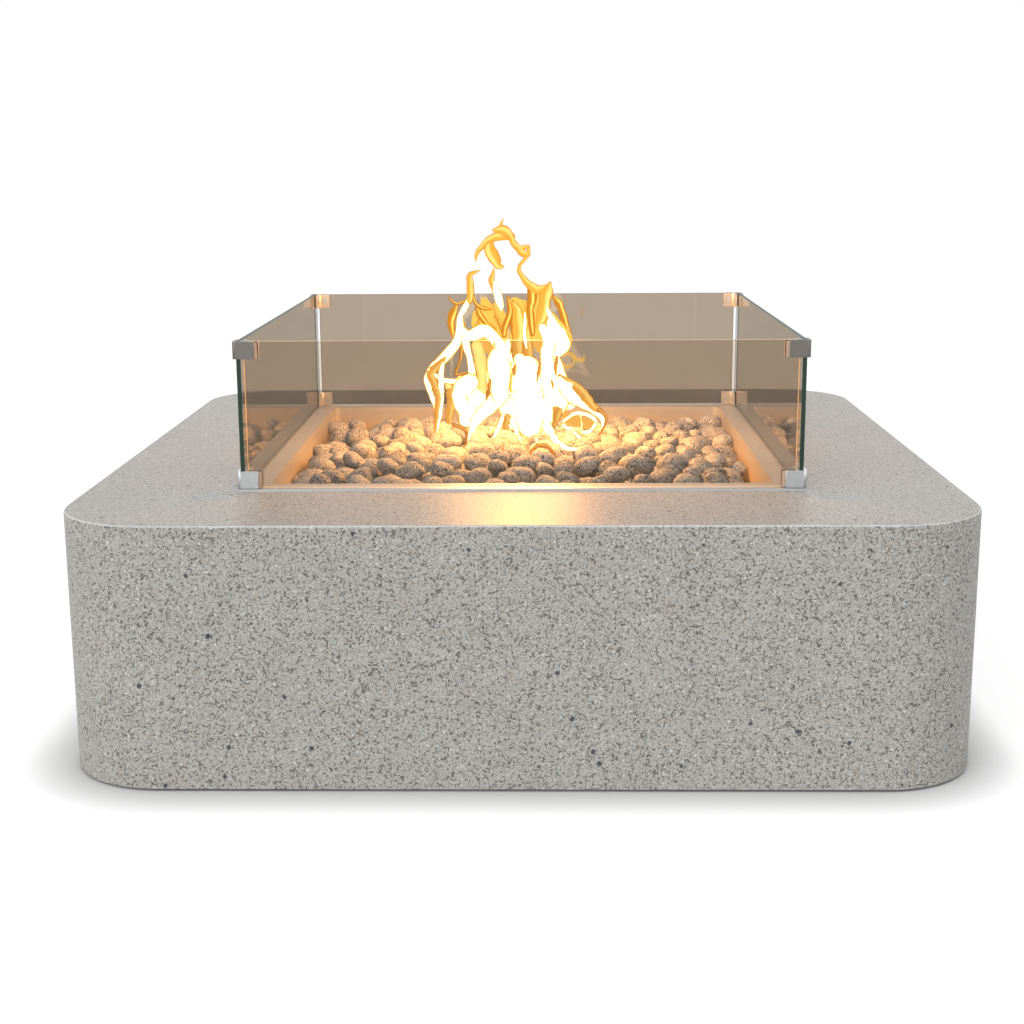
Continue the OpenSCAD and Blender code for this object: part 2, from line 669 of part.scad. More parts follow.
// Evenly spread directions, which give a stone its corners
facet_points = 14;
golden_turn = 137.50776;
even_points = [for (i = [0 : facet_points - 1])
    let (z = 1 - (2 * i + 1) / facet_points, r = sqrt(1 - z ^ 2))
    [r * cos(golden_turn * i), r * sin(golden_turn * i), z]];

module lava_stones() {
    chance = rands(0, 1, 6 * stone_tries, stone_seed);
    function dice(i, j) = chance[6 * i + j];

    // A stone's half sizes, its turn and its spread with half the gap round it
    function shape(i) =
        let (long = stone_big + (stone_small - stone_big) * sqrt(i / stone_tries) + 4 * (dice(i, 0) - 0.5),
             half = [long, long * (0.76 + 0.18 * dice(i, 1)), long * (0.6 + 0.2 * dice(i, 2))],
             m = turned(180 * dice(i, 3), 70 * (dice(i, 4) - 0.5), 60 * (dice(i, 5) - 0.5)))
        [half, m, spread([for (h = half) h + stone_gap / 2], m)];

    // What a stone rests on: the number of a stone, FLOOR, HUB, or a burner bar's number
    // counted down from HUB
    FLOOR = -1;
    HUB = -2;

    // Whether a resting stone really touches the hub or the bar, and not its air past the end
    function held(a, x, y, rest) =
        rest[1] == HUB ?
            let (low = surface_point(a, [0, 0, -1]))
            abs(x + low[0]) < hub_w / 2 && abs(y + low[1]) < hub_w / 2
        : rest[1] < HUB ?
            let (b = burner_bars[HUB - 1 - rest[1]],
                 off = off_bar(b, x, y),
                 side = surface_point(a, -facing(a, b[2], [off[0], off[1], rest[0] - b[0][2]])),
                 run = b[3][0] > 0 ? 1 : 0)
            abs([x, y][run] + side[run] - b[0][run]) < b[1][run]
        : true;

    // The height at which a stone comes to rest, and what it rests on
    function seat(a, x, y, e, placed) =
        let (rests = concat(
                [[pan_floor + e[2] + stone_gap / 2, FLOOR]],
                [if (abs(x) < hub_w / 2 + e[0] && abs(y) < hub_w / 2 + e[1])
                    [pan_floor + hub_h + e[2] + stone_gap / 2, HUB]],
                [for (i = [0 : len(burner_bars) - 1])
                    let (b = burner_bars[i], off = off_bar(b, x, y))
                    if (abs(x - b[0][0]) < b[1][0] + e[0] && abs(y - b[0][1]) < b[1][1] + e[1])
                        [b[0][2] + rise(a, b[2], off[0], off[1]), HUB - 1 - i]],
                [for (j = [0 : 1 : len(placed) - 1])
                    let (p = placed[j])
                    if (abs(p[0][0] - x) < 2 * stone_big + 4 && abs(p[0][1] - y) < 2 * stone_big + 4)
                        [p[0][2] + rise(a, p[3], x - p[0][0], y - p[0][1]), j]]),
             top = max([for (r = rests) r[0]]),
             rest = [for (r = rests) if (r[0] == top) r][0])
        held(a, x, y, rest) ? rest : [FAR, FLOOR];

    function lowest(spots) = let (z = min([for (s = spots) s[2]])) [for (s = spots) if (s[2] == z) s][0];

    // The surface that the stones' tops stay under: a low mound
    function mound(x, y) =
        let (off = max(abs(x) / (pan_w / 2), abs(y) / (pan_d / 2)))
        flange_top + mound_rise - (edge_depth + mound_rise) * off ^ 2;

    function laid(i, placed) =
        let (s = shape(i),
             e = [for (k = [0:2]) sqrt(s[2][k][k])],
             x0 = pan_w * (frac(i * 0.7548776662) - 0.5),
             y0 = pan_d * (frac(i * 0.5698402910) - 0.5),
             spots = [for (t = [0:8])
                let (x = kept_in(x0 + (t > 0 ? 16 * cos(45 * t) : 0), e[0], pan_w),
                     y = kept_in(y0 + (t > 0 ? 16 * sin(45 * t) : 0), e[1], pan_d),
                     rest = seat(s[2], x, y, e, placed))
                [x, y, rest[0], rest[1]]],
             c = lowest(spots))
        c[2] + e[2] < mound(c[0], c[1])
            ? concat(placed, [[[c[0], c[1], c[2]], s[0], s[1], s[2], c[3]]]) : placed;

    pile = [for (i = 0, placed = laid(0, []); i < stone_tries;
                 i = i + 1, placed = i < stone_tries ? laid(i, placed) : placed)
                if (i == stone_tries - 1) each placed];

    // Where stone i touches what it rests on, and where the stones above touch it
    function bar_touch(p, b) =
        let (off = off_bar(b, p[0][0], p[0][1])) -facing(p[3], b[2], [off[0], off[1], p[0][2] - b[0][2]]);
    touches = [for (p = pile)
        p[4] == FLOOR || p[4] == HUB ? [0, 0, -1]
        : p[4] < HUB ? bar_touch(p, burner_bars[HUB - 1 - p[4]])
        : -facing(p[3], pile[p[4]][3], p[0] - pile[p[4]][0])];
    function corners(i) =
        let (p = pile[i], skin = spread(p[1], p[2]))
        concat([for (u = even_points) p[2] * [for (k = [0:2]) u[k] * p[1][k]]],
               [surface_point(skin, touches[i])],
               [for (j = [i + 1 : 1 : len(pile) - 1]) if (pile[j][4] == i)
                   surface_point(skin, -touches[j])]);

    echo(stones = len(pile));
    color([0.45, 0.44, 0.43]) for (i = [0 : len(pile) - 1]) {
        points = corners(i);
        translate(pile[i][0]) hull()
            polyhedron(points, [for (k = [1 : len(points) - 2]) [0, k, k + 1]]);
    }
}

// A flat panel of glass that stands on the floors of its clamps
module glass_panel(w) color([0.55, 0.6, 0.55, 0.4])
    translate([0, 0, glass_bottom]) rotate([90, 0, 0])
        linear_extrude(glass_t) rounded_sheet(w, glass_h, glass_corner_r);

module glass_front() translate([0, -guard_d / 2 + glass_in, 0]) glass_panel(guard_w - 2 * panel_end);
module glass_back() translate([0, guard_d / 2 - glass_out, 0]) glass_panel(guard_w - 2 * panel_end);
module glass_left() translate([-guard_w / 2 + glass_out, 0, 0]) rotate([0, 0, 90])
    glass_panel(guard_d - 2 * glass_out);
module glass_right() translate([guard_w / 2 - glass_in, 0, 0]) rotate([0, 0, 90])
    glass_panel(guard_d - 2 * glass_out);

// Corners are drawn at the guard's front left and mirrored to the other three
module at_corner(right, back) {
    mirror([right, 0, 0]) mirror([0, back, 0]) translate([-guard_w / 2, -guard_d / 2, 0]) children();
}

// One leg of a clamp in plan, along +X
module clamp_leg_shape() {
    translate([clamp_corner_r, 0]) square([clamp_leg - clamp_corner_r - 1, clamp_wall]);
    translate([clamp_leg - 2, 1]) square([2, clamp_wall - 1]);
    translate([clamp_leg - 1, 1]) circle(r = 1);
    translate([web_start, jaw_out]) square([jaw_end - web_start, jaw_t]);
    translate([jaw_end - lip_w, jaw_out]) square([lip_w, jaw_t + lip_h]);
}

module clamp_shape() {
    clamp_leg_shape();
    mirror([1, -1]) clamp_leg_shape();
    difference() {
        translate([clamp_corner_r, clamp_corner_r]) circle(r = clamp_corner_r);
        translate([clamp_wall, clamp_wall]) square(2 * clamp_corner_r);
    }
    translate([web_start, clamp_wall - 0.5]) square([web_t, jaw_in - clamp_wall]);
    translate([jaw_out + post_r, jaw_out + post_r]) circle(r = post_r);
}

module clamp_screw_way() {
    translate([grip_x, jaw_out - past, 0]) rotate([-90, 0, 0])
        cylinder(d = clamp_screw_d + 2 * thread_play, h = jaw_t + 2 * past);
}

module clamp(seat) color([0.66, 0.67, 0.68]) {
    difference() {
        linear_extrude(clamp_h) clamp_shape();
        translate([0, 0, clamp_h / 2]) {
            clamp_screw_way();
            mirror([1, -1, 0]) clamp_screw_way();
        }
    }
    if (seat) linear_extrude(clamp_floor) {
        inner = jaw_out + 0.2;
        translate([clamp_wall - 0.2, clamp_wall - 0.2]) square([clamp_leg - clamp_wall, inner - clamp_wall]);
        translate([clamp_wall - 0.2, clamp_wall - 0.2]) square([inner - clamp_wall, clamp_leg - clamp_wall]);
    }
}

module upper_clamp(right, back)
    at_corner(right, back) translate([0, 0, glass_top - clamp_h]) clamp(false);
module lower_clamp(right, back)
    at_corner(right, back) translate([0, 0, guard_bottom]) clamp(true);

// Both legs of all eight corners, at the height of their screws
module at_clamp_screws() {
    for (right = [0, 1], back = [0, 1], z = [guard_bottom, glass_top - clamp_h], leg = [0, 1])
        at_corner(right, back) translate([0, 0, z + clamp_h / 2]) mirror([leg, -leg, 0])
            translate([grip_x, 0, 0]) rotate([-90, 0, 0]) children();
}

module clamp_screws() color([0.5, 0.5, 0.52]) at_clamp_screws() {
    translate([0, 0, jaw_out]) cylinder(d = clamp_screw_d, h = jaw_t);
    translate([0, 0, jaw_in]) difference() {
        cylinder(d = clamp_head_d, h = clamp_head_h);
        translate([0, 0, 0.8]) cylinder(d = 3.4, h = clamp_head_h, $fn = 6);
    }
}

module clamp_grips() color([0.1, 0.1, 0.1]) at_clamp_screws()
    translate([-grip_w / 2, -grip_w / 2, glass_in]) cube([grip_w, grip_w, grip_t]);

module clamp_liners() color([0.85, 0.82, 0.76])
    for (right = [0, 1], back = [0, 1], z = [glass_bottom, glass_top - clamp_h + 1], leg = [0, 1])
        at_corner(right, back) translate([0, 0, z]) mirror([leg, -leg, 0])
            translate([panel_end, clamp_wall, 0])
                cube([clamp_leg - panel_end + liner_reach, liner_t, clamp_h - clamp_floor - 1]);

module guard_feet() color([0.8, 0.8, 0.8]) for (right = [0, 1], back = [0, 1])
    at_corner(right, back) translate([(clamp_wall + jaw_out) / 2 + 2, (clamp_wall + jaw_out) / 2 + 2, flange_top])
        cylinder(d = guard_foot_d, h = guard_foot_t);

stone_shell();
rubber_pads();
burner_pan();
burner_hub();
mirror([1, 0, 0]) crossbar();  // burner_crossbar_left
crossbar();  // burner_crossbar_right
mirror([1, 0, 0]) burner_arm();  // burner_arm_left
burner_arm();  // burner_arm_right
burner_end_caps();
gas_nipple();
nipple_washer();
nipple_lock_nut();
hose_adapter();
hose_nut_upper();
flex_hose();
hose_nut_lower();
valve_body();
valve_ball();
valve_stem();
stem_gland();
bonnet_nut();
escutcheon();
escutcheon_gasket();
gas_inlet_fitting();
mirror([1, 0, 0]) vent();  // vent_left
vent();  // vent_right
vent_screws();
lava_stones();
glass_front();
glass_back();
glass_left();
glass_right();
upper_clamp(0, 0);  // clamp_upper_front_left
upper_clamp(1, 0);  // clamp_upper_front_right
upper_clamp(0, 1);  // clamp_upper_back_left
upper_clamp(1, 1);  // clamp_upper_back_right
lower_clamp(0, 0);  // clamp_lower_front_left
lower_clamp(1, 0);  // clamp_lower_front_right
lower_clamp(0, 1);  // clamp_lower_back_left
lower_clamp(1, 1);  // clamp_lower_back_right
clamp_screws();
clamp_grips();
clamp_liners();
guard_feet();
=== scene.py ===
"""The fire pit as it looks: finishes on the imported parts, lava stones, flames, light and camera."""

import math

import bmesh
import bpy
import numpy as np
from mathutils import Matrix, Vector, noise


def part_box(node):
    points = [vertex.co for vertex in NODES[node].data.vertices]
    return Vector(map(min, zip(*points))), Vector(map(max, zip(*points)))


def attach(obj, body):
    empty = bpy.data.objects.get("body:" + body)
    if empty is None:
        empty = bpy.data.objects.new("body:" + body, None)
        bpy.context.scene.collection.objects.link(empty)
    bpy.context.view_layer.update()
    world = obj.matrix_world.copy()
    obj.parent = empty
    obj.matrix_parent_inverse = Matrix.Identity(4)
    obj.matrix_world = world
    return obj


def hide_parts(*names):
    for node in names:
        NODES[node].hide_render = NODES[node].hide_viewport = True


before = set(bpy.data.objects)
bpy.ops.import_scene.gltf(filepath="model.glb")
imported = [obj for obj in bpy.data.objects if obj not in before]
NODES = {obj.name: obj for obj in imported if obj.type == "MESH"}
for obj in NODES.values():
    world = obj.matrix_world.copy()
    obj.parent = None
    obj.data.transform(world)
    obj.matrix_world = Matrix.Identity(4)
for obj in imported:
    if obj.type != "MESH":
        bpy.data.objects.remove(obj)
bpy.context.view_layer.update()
SCENE = bpy.context.scene
MM = 0.001

# Camera

# The photograph's width, and the camera that was fitted to its measured corners
PIXELS = 1024
SENSOR_MM = 36
LENS_MM = 56.77
NEAREST, FARTHEST = 0.05, 200
EYE = Vector((0.0291, -2.589, 0.8082))
YAW = math.radians(-1.101)
PITCH = math.radians(12.385)
ROLL = math.radians(-0.324)


def camera_axes():
    """Right, up and ahead, as the photograph was taken."""
    flat = math.cos(PITCH)
    ahead = Vector((math.sin(YAW) * flat, math.cos(YAW) * flat, -math.sin(PITCH)))
    level = Vector((math.cos(YAW), -math.sin(YAW), 0))
    above = level.cross(ahead)
    right = math.cos(ROLL) * level + math.sin(ROLL) * above
    up = math.cos(ROLL) * above - math.sin(ROLL) * level
    return right, up, ahead


def make_camera():
    right, up, ahead = camera_axes()
    data = bpy.data.cameras.new("camera")
    data.lens = LENS_MM
    data.sensor_width = SENSOR_MM
    data.clip_start, data.clip_end = NEAREST, FARTHEST
    camera = bpy.data.objects.new("camera", data)
    camera.matrix_world = Matrix.Translation(EYE) @ Matrix((right, up, -ahead)).transposed().to_4x4()
    SCENE.collection.objects.link(camera)
    SCENE.camera = camera


def sight_line(x, y):
    """The direction from the eye through a pixel of the photograph."""
    right, up, ahead = camera_axes()
    reach = PIXELS * LENS_MM / SENSOR_MM
    return ahead + right * (x - PIXELS / 2) / reach - up * (y - PIXELS / 2) / reach


# Finishes


class Finish:
    """One node material. Each method adds a node and gives back a socket."""

    def __init__(self, name):
        self.material = bpy.data.materials.new(name)
        self.material.use_nodes = True
        self.tree = self.material.node_tree
        self.tree.nodes.clear()
        self.point = self.add("TexCoord").outputs["Object"]

    def add(self, kind, **settings):
        made = self.tree.nodes.new("ShaderNode" + kind)
        for key, value in settings.items():
            setattr(made, key, value)
        return made

    def feed(self, socket, value):
        if isinstance(value, bpy.types.NodeSocket):
            self.tree.links.new(value, socket)
        elif socket.type == "RGBA" and len(value) == 3:
            socket.default_value = (*value, 1)
        else:
            socket.default_value = value

    def math(self, operation, a, b=0.0, clamp=False):
        made = self.add("Math", operation=operation, use_clamp=clamp)
        self.feed(made.inputs[0], a)
        self.feed(made.inputs[1], b)
        return made.outputs[0]

    def times(self, first, *others):
        for other in others:
            first = self.math("MULTIPLY", first, other)
        return first

    def span(self, value, low, high):
        """0 at low, 1 at high, and held outside them."""
        made = self.add("MapRange", clamp=True)
        self.feed(made.inputs["Value"], value)
        made.inputs["From Min"].default_value = low
        made.inputs["From Max"].default_value = high
        return made.outputs["Result"]

    def parts(self, vector):
        """The three parts of a vector or colour."""
        made = self.add("SeparateXYZ")
        self.feed(made.inputs[0], vector)
        return made.outputs

    def scaled(self, point, scale):
        made = self.add("Mapping")
        self.feed(made.inputs["Vector"], point)
        made.inputs["Scale"].default_value = scale
        return made.outputs["Vector"]

    def noise(self, size, detail=2.0, rough=0.5, point=None, output="Fac"):
        """Noise whose lumps are about size metres across."""
        made = self.add("TexNoise")
        self.feed(made.inputs["Vector"], point or self.point)
        made.inputs["Scale"].default_value = 1 / size
        made.inputs["Detail"].default_value = detail
        made.inputs["Roughness"].default_value = rough
        return made.outputs[output]

    def cells(self, size, point=None):
        """Voronoi cells about size metres across: distance from the middle, and a number for each."""
        made = self.add("TexVoronoi", feature="F1")
        self.feed(made.inputs["Vector"], point or self.point)
        made.inputs["Scale"].default_value = 1 / size
        return made.outputs["Distance"], self.parts(made.outputs["Color"])[0]

    def warped(self, size, amount, point=None):
        """The point, pushed about by noise."""
        wander = self.noise(size, 1.0, point=point, output="Color")
        made = self.add("VectorMath", operation="MULTIPLY_ADD")
        self.feed(made.inputs[0], wander)
        made.inputs[1].default_value = (2 * amount,) * 3
        self.feed(made.inputs[2], point or self.point)
        return made.outputs[0]

    def spots(self, size, radius, share, point=None):
        """Separate spots in a share of the cells: 1 inside a spot. Lengths are in metres."""
        distance, number = self.cells(size, point)
        inside = self.span(distance, 1.15 * radius / size, 0.8 * radius / size)
        return self.times(inside, self.math("LESS_THAN", number, share))

    def worms(self, size, width, gaps):
        """Short curved strokes: thin lines of equal height in noise, cut up by finer noise."""
        height = self.noise(size, 1.0)
        off = self.math("ABSOLUTE", self.math("SUBTRACT", height, 0.5))
        line = self.span(off, width, 0.5 * width)
        return self.times(line, self.span(self.noise(0.6 * size, 1.0), gaps, gaps + 0.06))

    def mix(self, factor, a, b):
        made = self.add("Mix", data_type="RGBA")
        self.feed(made.inputs["Factor"], factor)
        self.feed(made.inputs[6], a)
        self.feed(made.inputs[7], b)
        return made.outputs[2]

    def over(self, base, mask, share, colour):
        """The base, with a share of the colour laid over it where the mask is."""
        return self.mix(self.times(mask, share), base, colour)

    def bump(self, height, depth):
        made = self.add("Bump")
        made.inputs["Strength"].default_value = 1.0
        made.inputs["Distance"].default_value = depth
        self.feed(made.inputs["Height"], height)
        return made.outputs["Normal"]

    def shader(self, **values):
        made = self.add("BsdfPrincipled")
        for key, value in values.items():
            self.feed(made.inputs[key.replace("_", " ")], value)
        return made.outputs[0]

    def blend(self, factor, a, b):
        made = self.add("MixShader")
        self.feed(made.inputs[0], factor)
        self.feed(made.inputs[1], a)
        self.feed(made.inputs[2], b)
        return made.outputs[0]

    def both(self, a, b):
        made = self.add("AddShader")
        self.feed(made.inputs[0], a)
        self.feed(made.inputs[1], b)
        return made.outputs[0]

    def ends(self, surface=None, volume=None):
        out = self.add("OutputMaterial")
        if surface is not None:
            self.feed(out.inputs["Surface"], surface)
        if volume is not None:
            self.feed(out.inputs["Volume"], volume)
        return self.material


# Cast stone: its tones, and the heights between which its upper edge is eased
GROUND_TONES = (0.42, 0.415, 0.39), (0.51, 0.505, 0.475)
WARM_STAIN = (0.45, 0.37, 0.28)
DARK_GRAIN, PALE_GRAIN = (0.17, 0.165, 0.15), (0.72, 0.72, 0.7)
CHIP_TONE = (0.78, 0.78, 0.77)
STROKE_TONE = (0.09, 0.087, 0.076)
PIT_TONE = (0.075, 0.072, 0.066)
PEBBLE_TONE = (0.045, 0.05, 0.058)
# Pale tone for the painted highlight along the eased upper edge
PAINTED_EDGE_HIGHLIGHT_TONE = (0.8, 0.79, 0.77)
# Dark tone laid over the flat top as painted shade
PAINTED_TOP_SHADE_TONE = (0.06, 0.07, 0.08)
STONE_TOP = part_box("stone_shell")[1][2]
EASED_EDGE = STONE_TOP - 4.5 * MM, STONE_TOP - 3.5 * MM


def cast_stone():
    """Cast stone: a grainy ground with dark strokes, pits, pale chips and pebbles. Its top is honed and
    darkened by painted shade, and its eased upper edge carries a painted highlight.
    """
    f = Finish("cast_stone")
    base = f.mix(f.noise(0.1, 3.0), *GROUND_TONES)
    warm = f.span(f.noise(0.02, 2.0), 0.55, 0.75)
    base = f.over(base, warm, 0.4, WARM_STAIN)
    grain = f.noise(0.0028, 2.0, 0.75)
    base = f.over(base, f.span(grain, 0.5, 0.34), 0.62, DARK_GRAIN)
    base = f.over(base, f.span(grain, 0.52, 0.68), 0.5, PALE_GRAIN)
    chips = f.spots(0.0075, 0.0017, 0.3, f.warped(0.003, 0.0012))
    base = f.over(base, chips, 0.6, CHIP_TONE)
    strokes = f.math("MAXIMUM", f.worms(0.0075, 0.05, 0.52), f.worms(0.0052, 0.06, 0.55))
    base = f.over(base, strokes, 0.82, STROKE_TONE)
    pits = f.spots(0.008, 0.0015, 0.45, f.warped(0.0025, 0.0014))
    base = f.over(base, pits, 0.8, PIT_TONE)
    pebbles = f.spots(0.045, 0.0034, 0.75, f.warped(0.004, 0.0018))
    base = f.over(base, pebbles, 0.9, PEBBLE_TONE)
    height = f.parts(f.point)[2]
    upward = f.parts(f.add("NewGeometry").outputs["True Normal"])[2]
    eased = f.times(f.span(height, *EASED_EDGE), f.span(upward, 0.4, 0.6))
    # A pale line along the eased upper edge, where it turns from the top: painted highlight
    line = f.times(eased, f.span(upward, 0.97, 0.85))
    base = f.over(base, line, 0.6, PAINTED_EDGE_HIGHLIGHT_TONE)
    flat_top = f.span(upward, 0.9, 0.98)
    # The flat top is darkened here: painted shade. Its honing is in the lower roughness and softer bump
    base = f.over(base, flat_top, 0.13, PAINTED_TOP_SHADE_TONE)
    relief = f.math("SUBTRACT", f.times(grain, 0.3), f.math("MAXIMUM", strokes, pits))
    relief = f.times(relief, f.math("SUBTRACT", 1.0, f.times(flat_top, 0.9)))
    rough = f.math("SUBTRACT", 0.5, f.times(flat_top, 0.14))
    rough = f.math("ADD", rough, f.times(grain, 0.08))
    normal = f.bump(relief, 0.00025)
    return f.ends(f.shader(Base_Color=base, Roughness=rough, Normal=normal, Specular_IOR_Level=0.25))


def dimmed(colour, share):
    return tuple(share * c for c in colour)


GRAIN_DEPTH = 0.02 * MM


def brushed_metal(name, colour, rough, along=(1, 1, 40), streak=0.25):
    """Metal with a fine grain that runs along its small scale."""
    f = Finish(name)
    grain = f.noise(0.03, 3.0, 0.7, point=f.scaled(f.point, along))
    cloud = f.noise(0.09, 3.0)
    dull = f.over(colour, cloud, 0.5, dimmed(colour, 0.8))
    tone = f.over(dull, grain, streak, dimmed(colour, 0.45))
    roughness = f.math("ADD", f.times(grain, 0.22), f.math("ADD", f.times(cloud, 0.12), rough - 0.16))
    normal = f.bump(grain, GRAIN_DEPTH)
    return f.ends(f.shader(Base_Color=tone, Metallic=1.0, Roughness=roughness, Normal=normal))


STEEL_TONES = (0.59, 0.6, 0.6), (0.33, 0.33, 0.33)
HEAT_TINT_AND_FIRELIGHT_TONE = (0.92, 0.7, 0.38)
# Heights between which the warm tint comes in, going down from the flange: partly real heat tint, partly
# painted firelight
HEAT_AND_GLOW_STARTS, HEAT_AND_GLOW_FULL = 0.35, 0.3


def pan_steel():
    """Heat-dulled stainless whose grain follows each side of the square, with mitred corners. Its lower
    walls take a warm tint that is partly real heat tint and partly painted firelight.
    """
    f = Finish("brushed_stainless")
    x, y, z = f.parts(f.point)
    side = f.math("GREATER_THAN", f.math("ABSOLUTE", x), f.math("ABSOLUTE", y))
    across = f.noise(0.05, 3.0, 0.75, point=f.scaled(f.point, (1, 60, 60)))
    deep = f.noise(0.05, 3.0, 0.75, point=f.scaled(f.point, (60, 1, 60)))
    grain = f.math("ADD", f.times(side, deep), f.times(f.math("SUBTRACT", 1.0, side), across))
    cloud = f.noise(0.14, 3.0)
    tone = f.mix(f.times(grain, 0.5), *STEEL_TONES)
    heat_tint_and_glow = f.span(z, HEAT_AND_GLOW_STARTS, HEAT_AND_GLOW_FULL)
    # Warm tint deeper in the pan: partly heat tint, partly painted firelight
    tone = f.over(tone, heat_tint_and_glow, 0.85, HEAT_TINT_AND_FIRELIGHT_TONE)
    rough = f.math("ADD", f.times(grain, 0.16), f.math("ADD", f.times(cloud, 0.1), 0.3))
    normal = f.bump(grain, GRAIN_DEPTH)
    return f.ends(f.shader(Base_Color=tone, Metallic=0.55, Roughness=rough, Normal=normal))


CLAMP_STAIN = (0.1, 0.1, 0.1)
CLAMP_LINES_DEPTH = 0.01 * MM


def clamp_metal(name, colour, firelit_colour, rough):
    """Satin aluminium with fine upright lines. Faces that look at the fire take a paler, warmer colour:
    painted firelight.
    """
    f = Finish(name)
    facing = f.add("VectorMath", operation="DOT_PRODUCT")
    f.feed(facing.inputs[0], f.add("NewGeometry").outputs["True Normal"])
    f.feed(facing.inputs[1], f.scaled(f.point, (1, 1, 0)))
    facing_the_fire = f.math("LESS_THAN", facing.outputs["Value"], -0.1)
    # Painted firelight: faces turned towards the middle of the pit get the paler, warmer colour
    colour = f.mix(facing_the_fire, colour, firelit_colour)
    lines = f.noise(0.012, 3.0, 0.7, point=f.scaled(f.point, (30, 30, 1)))
    stain = f.noise(0.012, 3.0)
    tone = f.over(colour, stain, 0.4, CLAMP_STAIN)
    roughness = f.math("ADD", f.times(stain, 0.16), f.math("ADD", f.times(lines, 0.1), rough - 0.12))
    normal = f.bump(lines, CLAMP_LINES_DEPTH)
    return f.ends(f.shader(Base_Color=tone, Metallic=0.7, Roughness=roughness, Normal=normal))


# What a whole panel lets through, and the tones of its ground edges. The front panel's pale golden edge
# tones are a painted highlight
SIDE_TINT = (0.31, 0.265, 0.21)
BACK_TINT = (0.4, 0.325, 0.25)
FRONT_TINT = (0.76, 0.675, 0.575)
DARK_EDGE = (0.012, 0.03, 0.02), (0.03, 0.06, 0.04)
# Pale golden edges for the front panel: painted highlight
FRONT_EDGE_HIGHLIGHT = (0.6, 0.43, 0.22), (0.85, 0.66, 0.38)
GLASS_IOR = 1.4


def tinted_glass(name, axis, tint, edge_tones):
    """Bronze safety glass: clear through the two faces that look along the axis, matte at its edges."""
    f = Finish(name)
    geometry = f.add("NewGeometry")
    looks = f.parts(geometry.outputs["True Normal"])[axis]
    face = f.math("GREATER_THAN", f.math("ABSOLUTE", looks), 0.9)
    through = f.add("BsdfTransparent")
    # Light goes through two faces of a panel, and each one tints it by the root
    through.inputs[0].default_value = (*(math.sqrt(c) for c in tint), 1)
    mirror = f.add("BsdfGlossy")
    mirror.inputs["Color"].default_value = (1, 1, 1, 1)
    f.feed(mirror.inputs["Roughness"], f.times(f.noise(0.25, 2.0), 0.05))
    fresnel = f.add("Fresnel")
    fresnel.inputs["IOR"].default_value = GLASS_IOR
    outside = f.math("SUBTRACT", 1.0, geometry.outputs["Backfacing"])
    pane = f.blend(f.times(fresnel.outputs[0], outside), through.outputs[0], mirror.outputs[0])
    tone = f.mix(f.noise(0.02, 2.0), *edge_tones)
    edge = f.shader(Base_Color=tone, Roughness=0.5, Specular_IOR_Level=0.25)
    return f.ends(f.blend(face, edge, pane))


def rubber(name, colour):
    f = Finish(name)
    grain = f.noise(0.0015, 2.0)
    tone = f.mix(f.noise(0.02, 2.0), colour, tuple(1.6 * c + 0.01 for c in colour))
    return f.ends(f.shader(Base_Color=tone, Roughness=0.75, Normal=f.bump(grain, 0.0001)))


MILKY_TONES = (0.62, 0.56, 0.48), (0.8, 0.74, 0.66)


def clear_silicone():
    """Milky silicone strip: light that falls on its back shows through."""
    f = Finish("clear_silicone")
    tone = f.mix(f.noise(0.01, 2.0), *MILKY_TONES)
    passed = f.add("BsdfTranslucent")
    f.feed(passed.inputs["Color"], tone)
    skin = f.shader(Base_Color=tone, Roughness=0.35)
    return f.ends(f.blend(0.6, skin, passed.outputs[0]))


LAVA_TONES = (0.19, 0.225, 0.27), (0.44, 0.49, 0.55)
RUST_TONE = (0.26, 0.2, 0.15)
DUST_TONE = (0.74, 0.78, 0.82)
PORE_TONE, LARGE_PORE_TONE = (0.035, 0.034, 0.033), (0.03, 0.028, 0.027)


def lava_rock():
    """Tumbled lava: each stone its own grey, with open pores, pale dust and a few rusty patches."""
    f = Finish("lava_rock")
    tone = f.add("Attribute", attribute_name="tone").outputs["Fac"]
    base = f.mix(tone, *LAVA_TONES)
    patch = f.span(f.noise(0.018, 3.0), 0.5, 0.68)
    base = f.over(base, patch, 0.4, RUST_TONE)
    dust = f.span(f.noise(0.0021, 2.0, 0.8), 0.5, 0.58)
    base = f.over(base, dust, 0.8, DUST_TONE)
    pores = f.spots(0.0034, 0.0011, 0.6, f.warped(0.003, 0.0009))
    base = f.over(base, pores, 0.9, PORE_TONE)
    large = f.spots(0.0095, 0.0017, 0.6, f.warped(0.004, 0.0016))
    base = f.over(base, large, 0.9, LARGE_PORE_TONE)
    ground = f.times(f.noise(0.0024, 3.0, 0.75), 0.9)
    relief = f.math("SUBTRACT", ground, f.math("MAXIMUM", pores, large))
    return f.ends(f.shader(Base_Color=base, Roughness=0.9, Normal=f.bump(relief, 0.0016)))


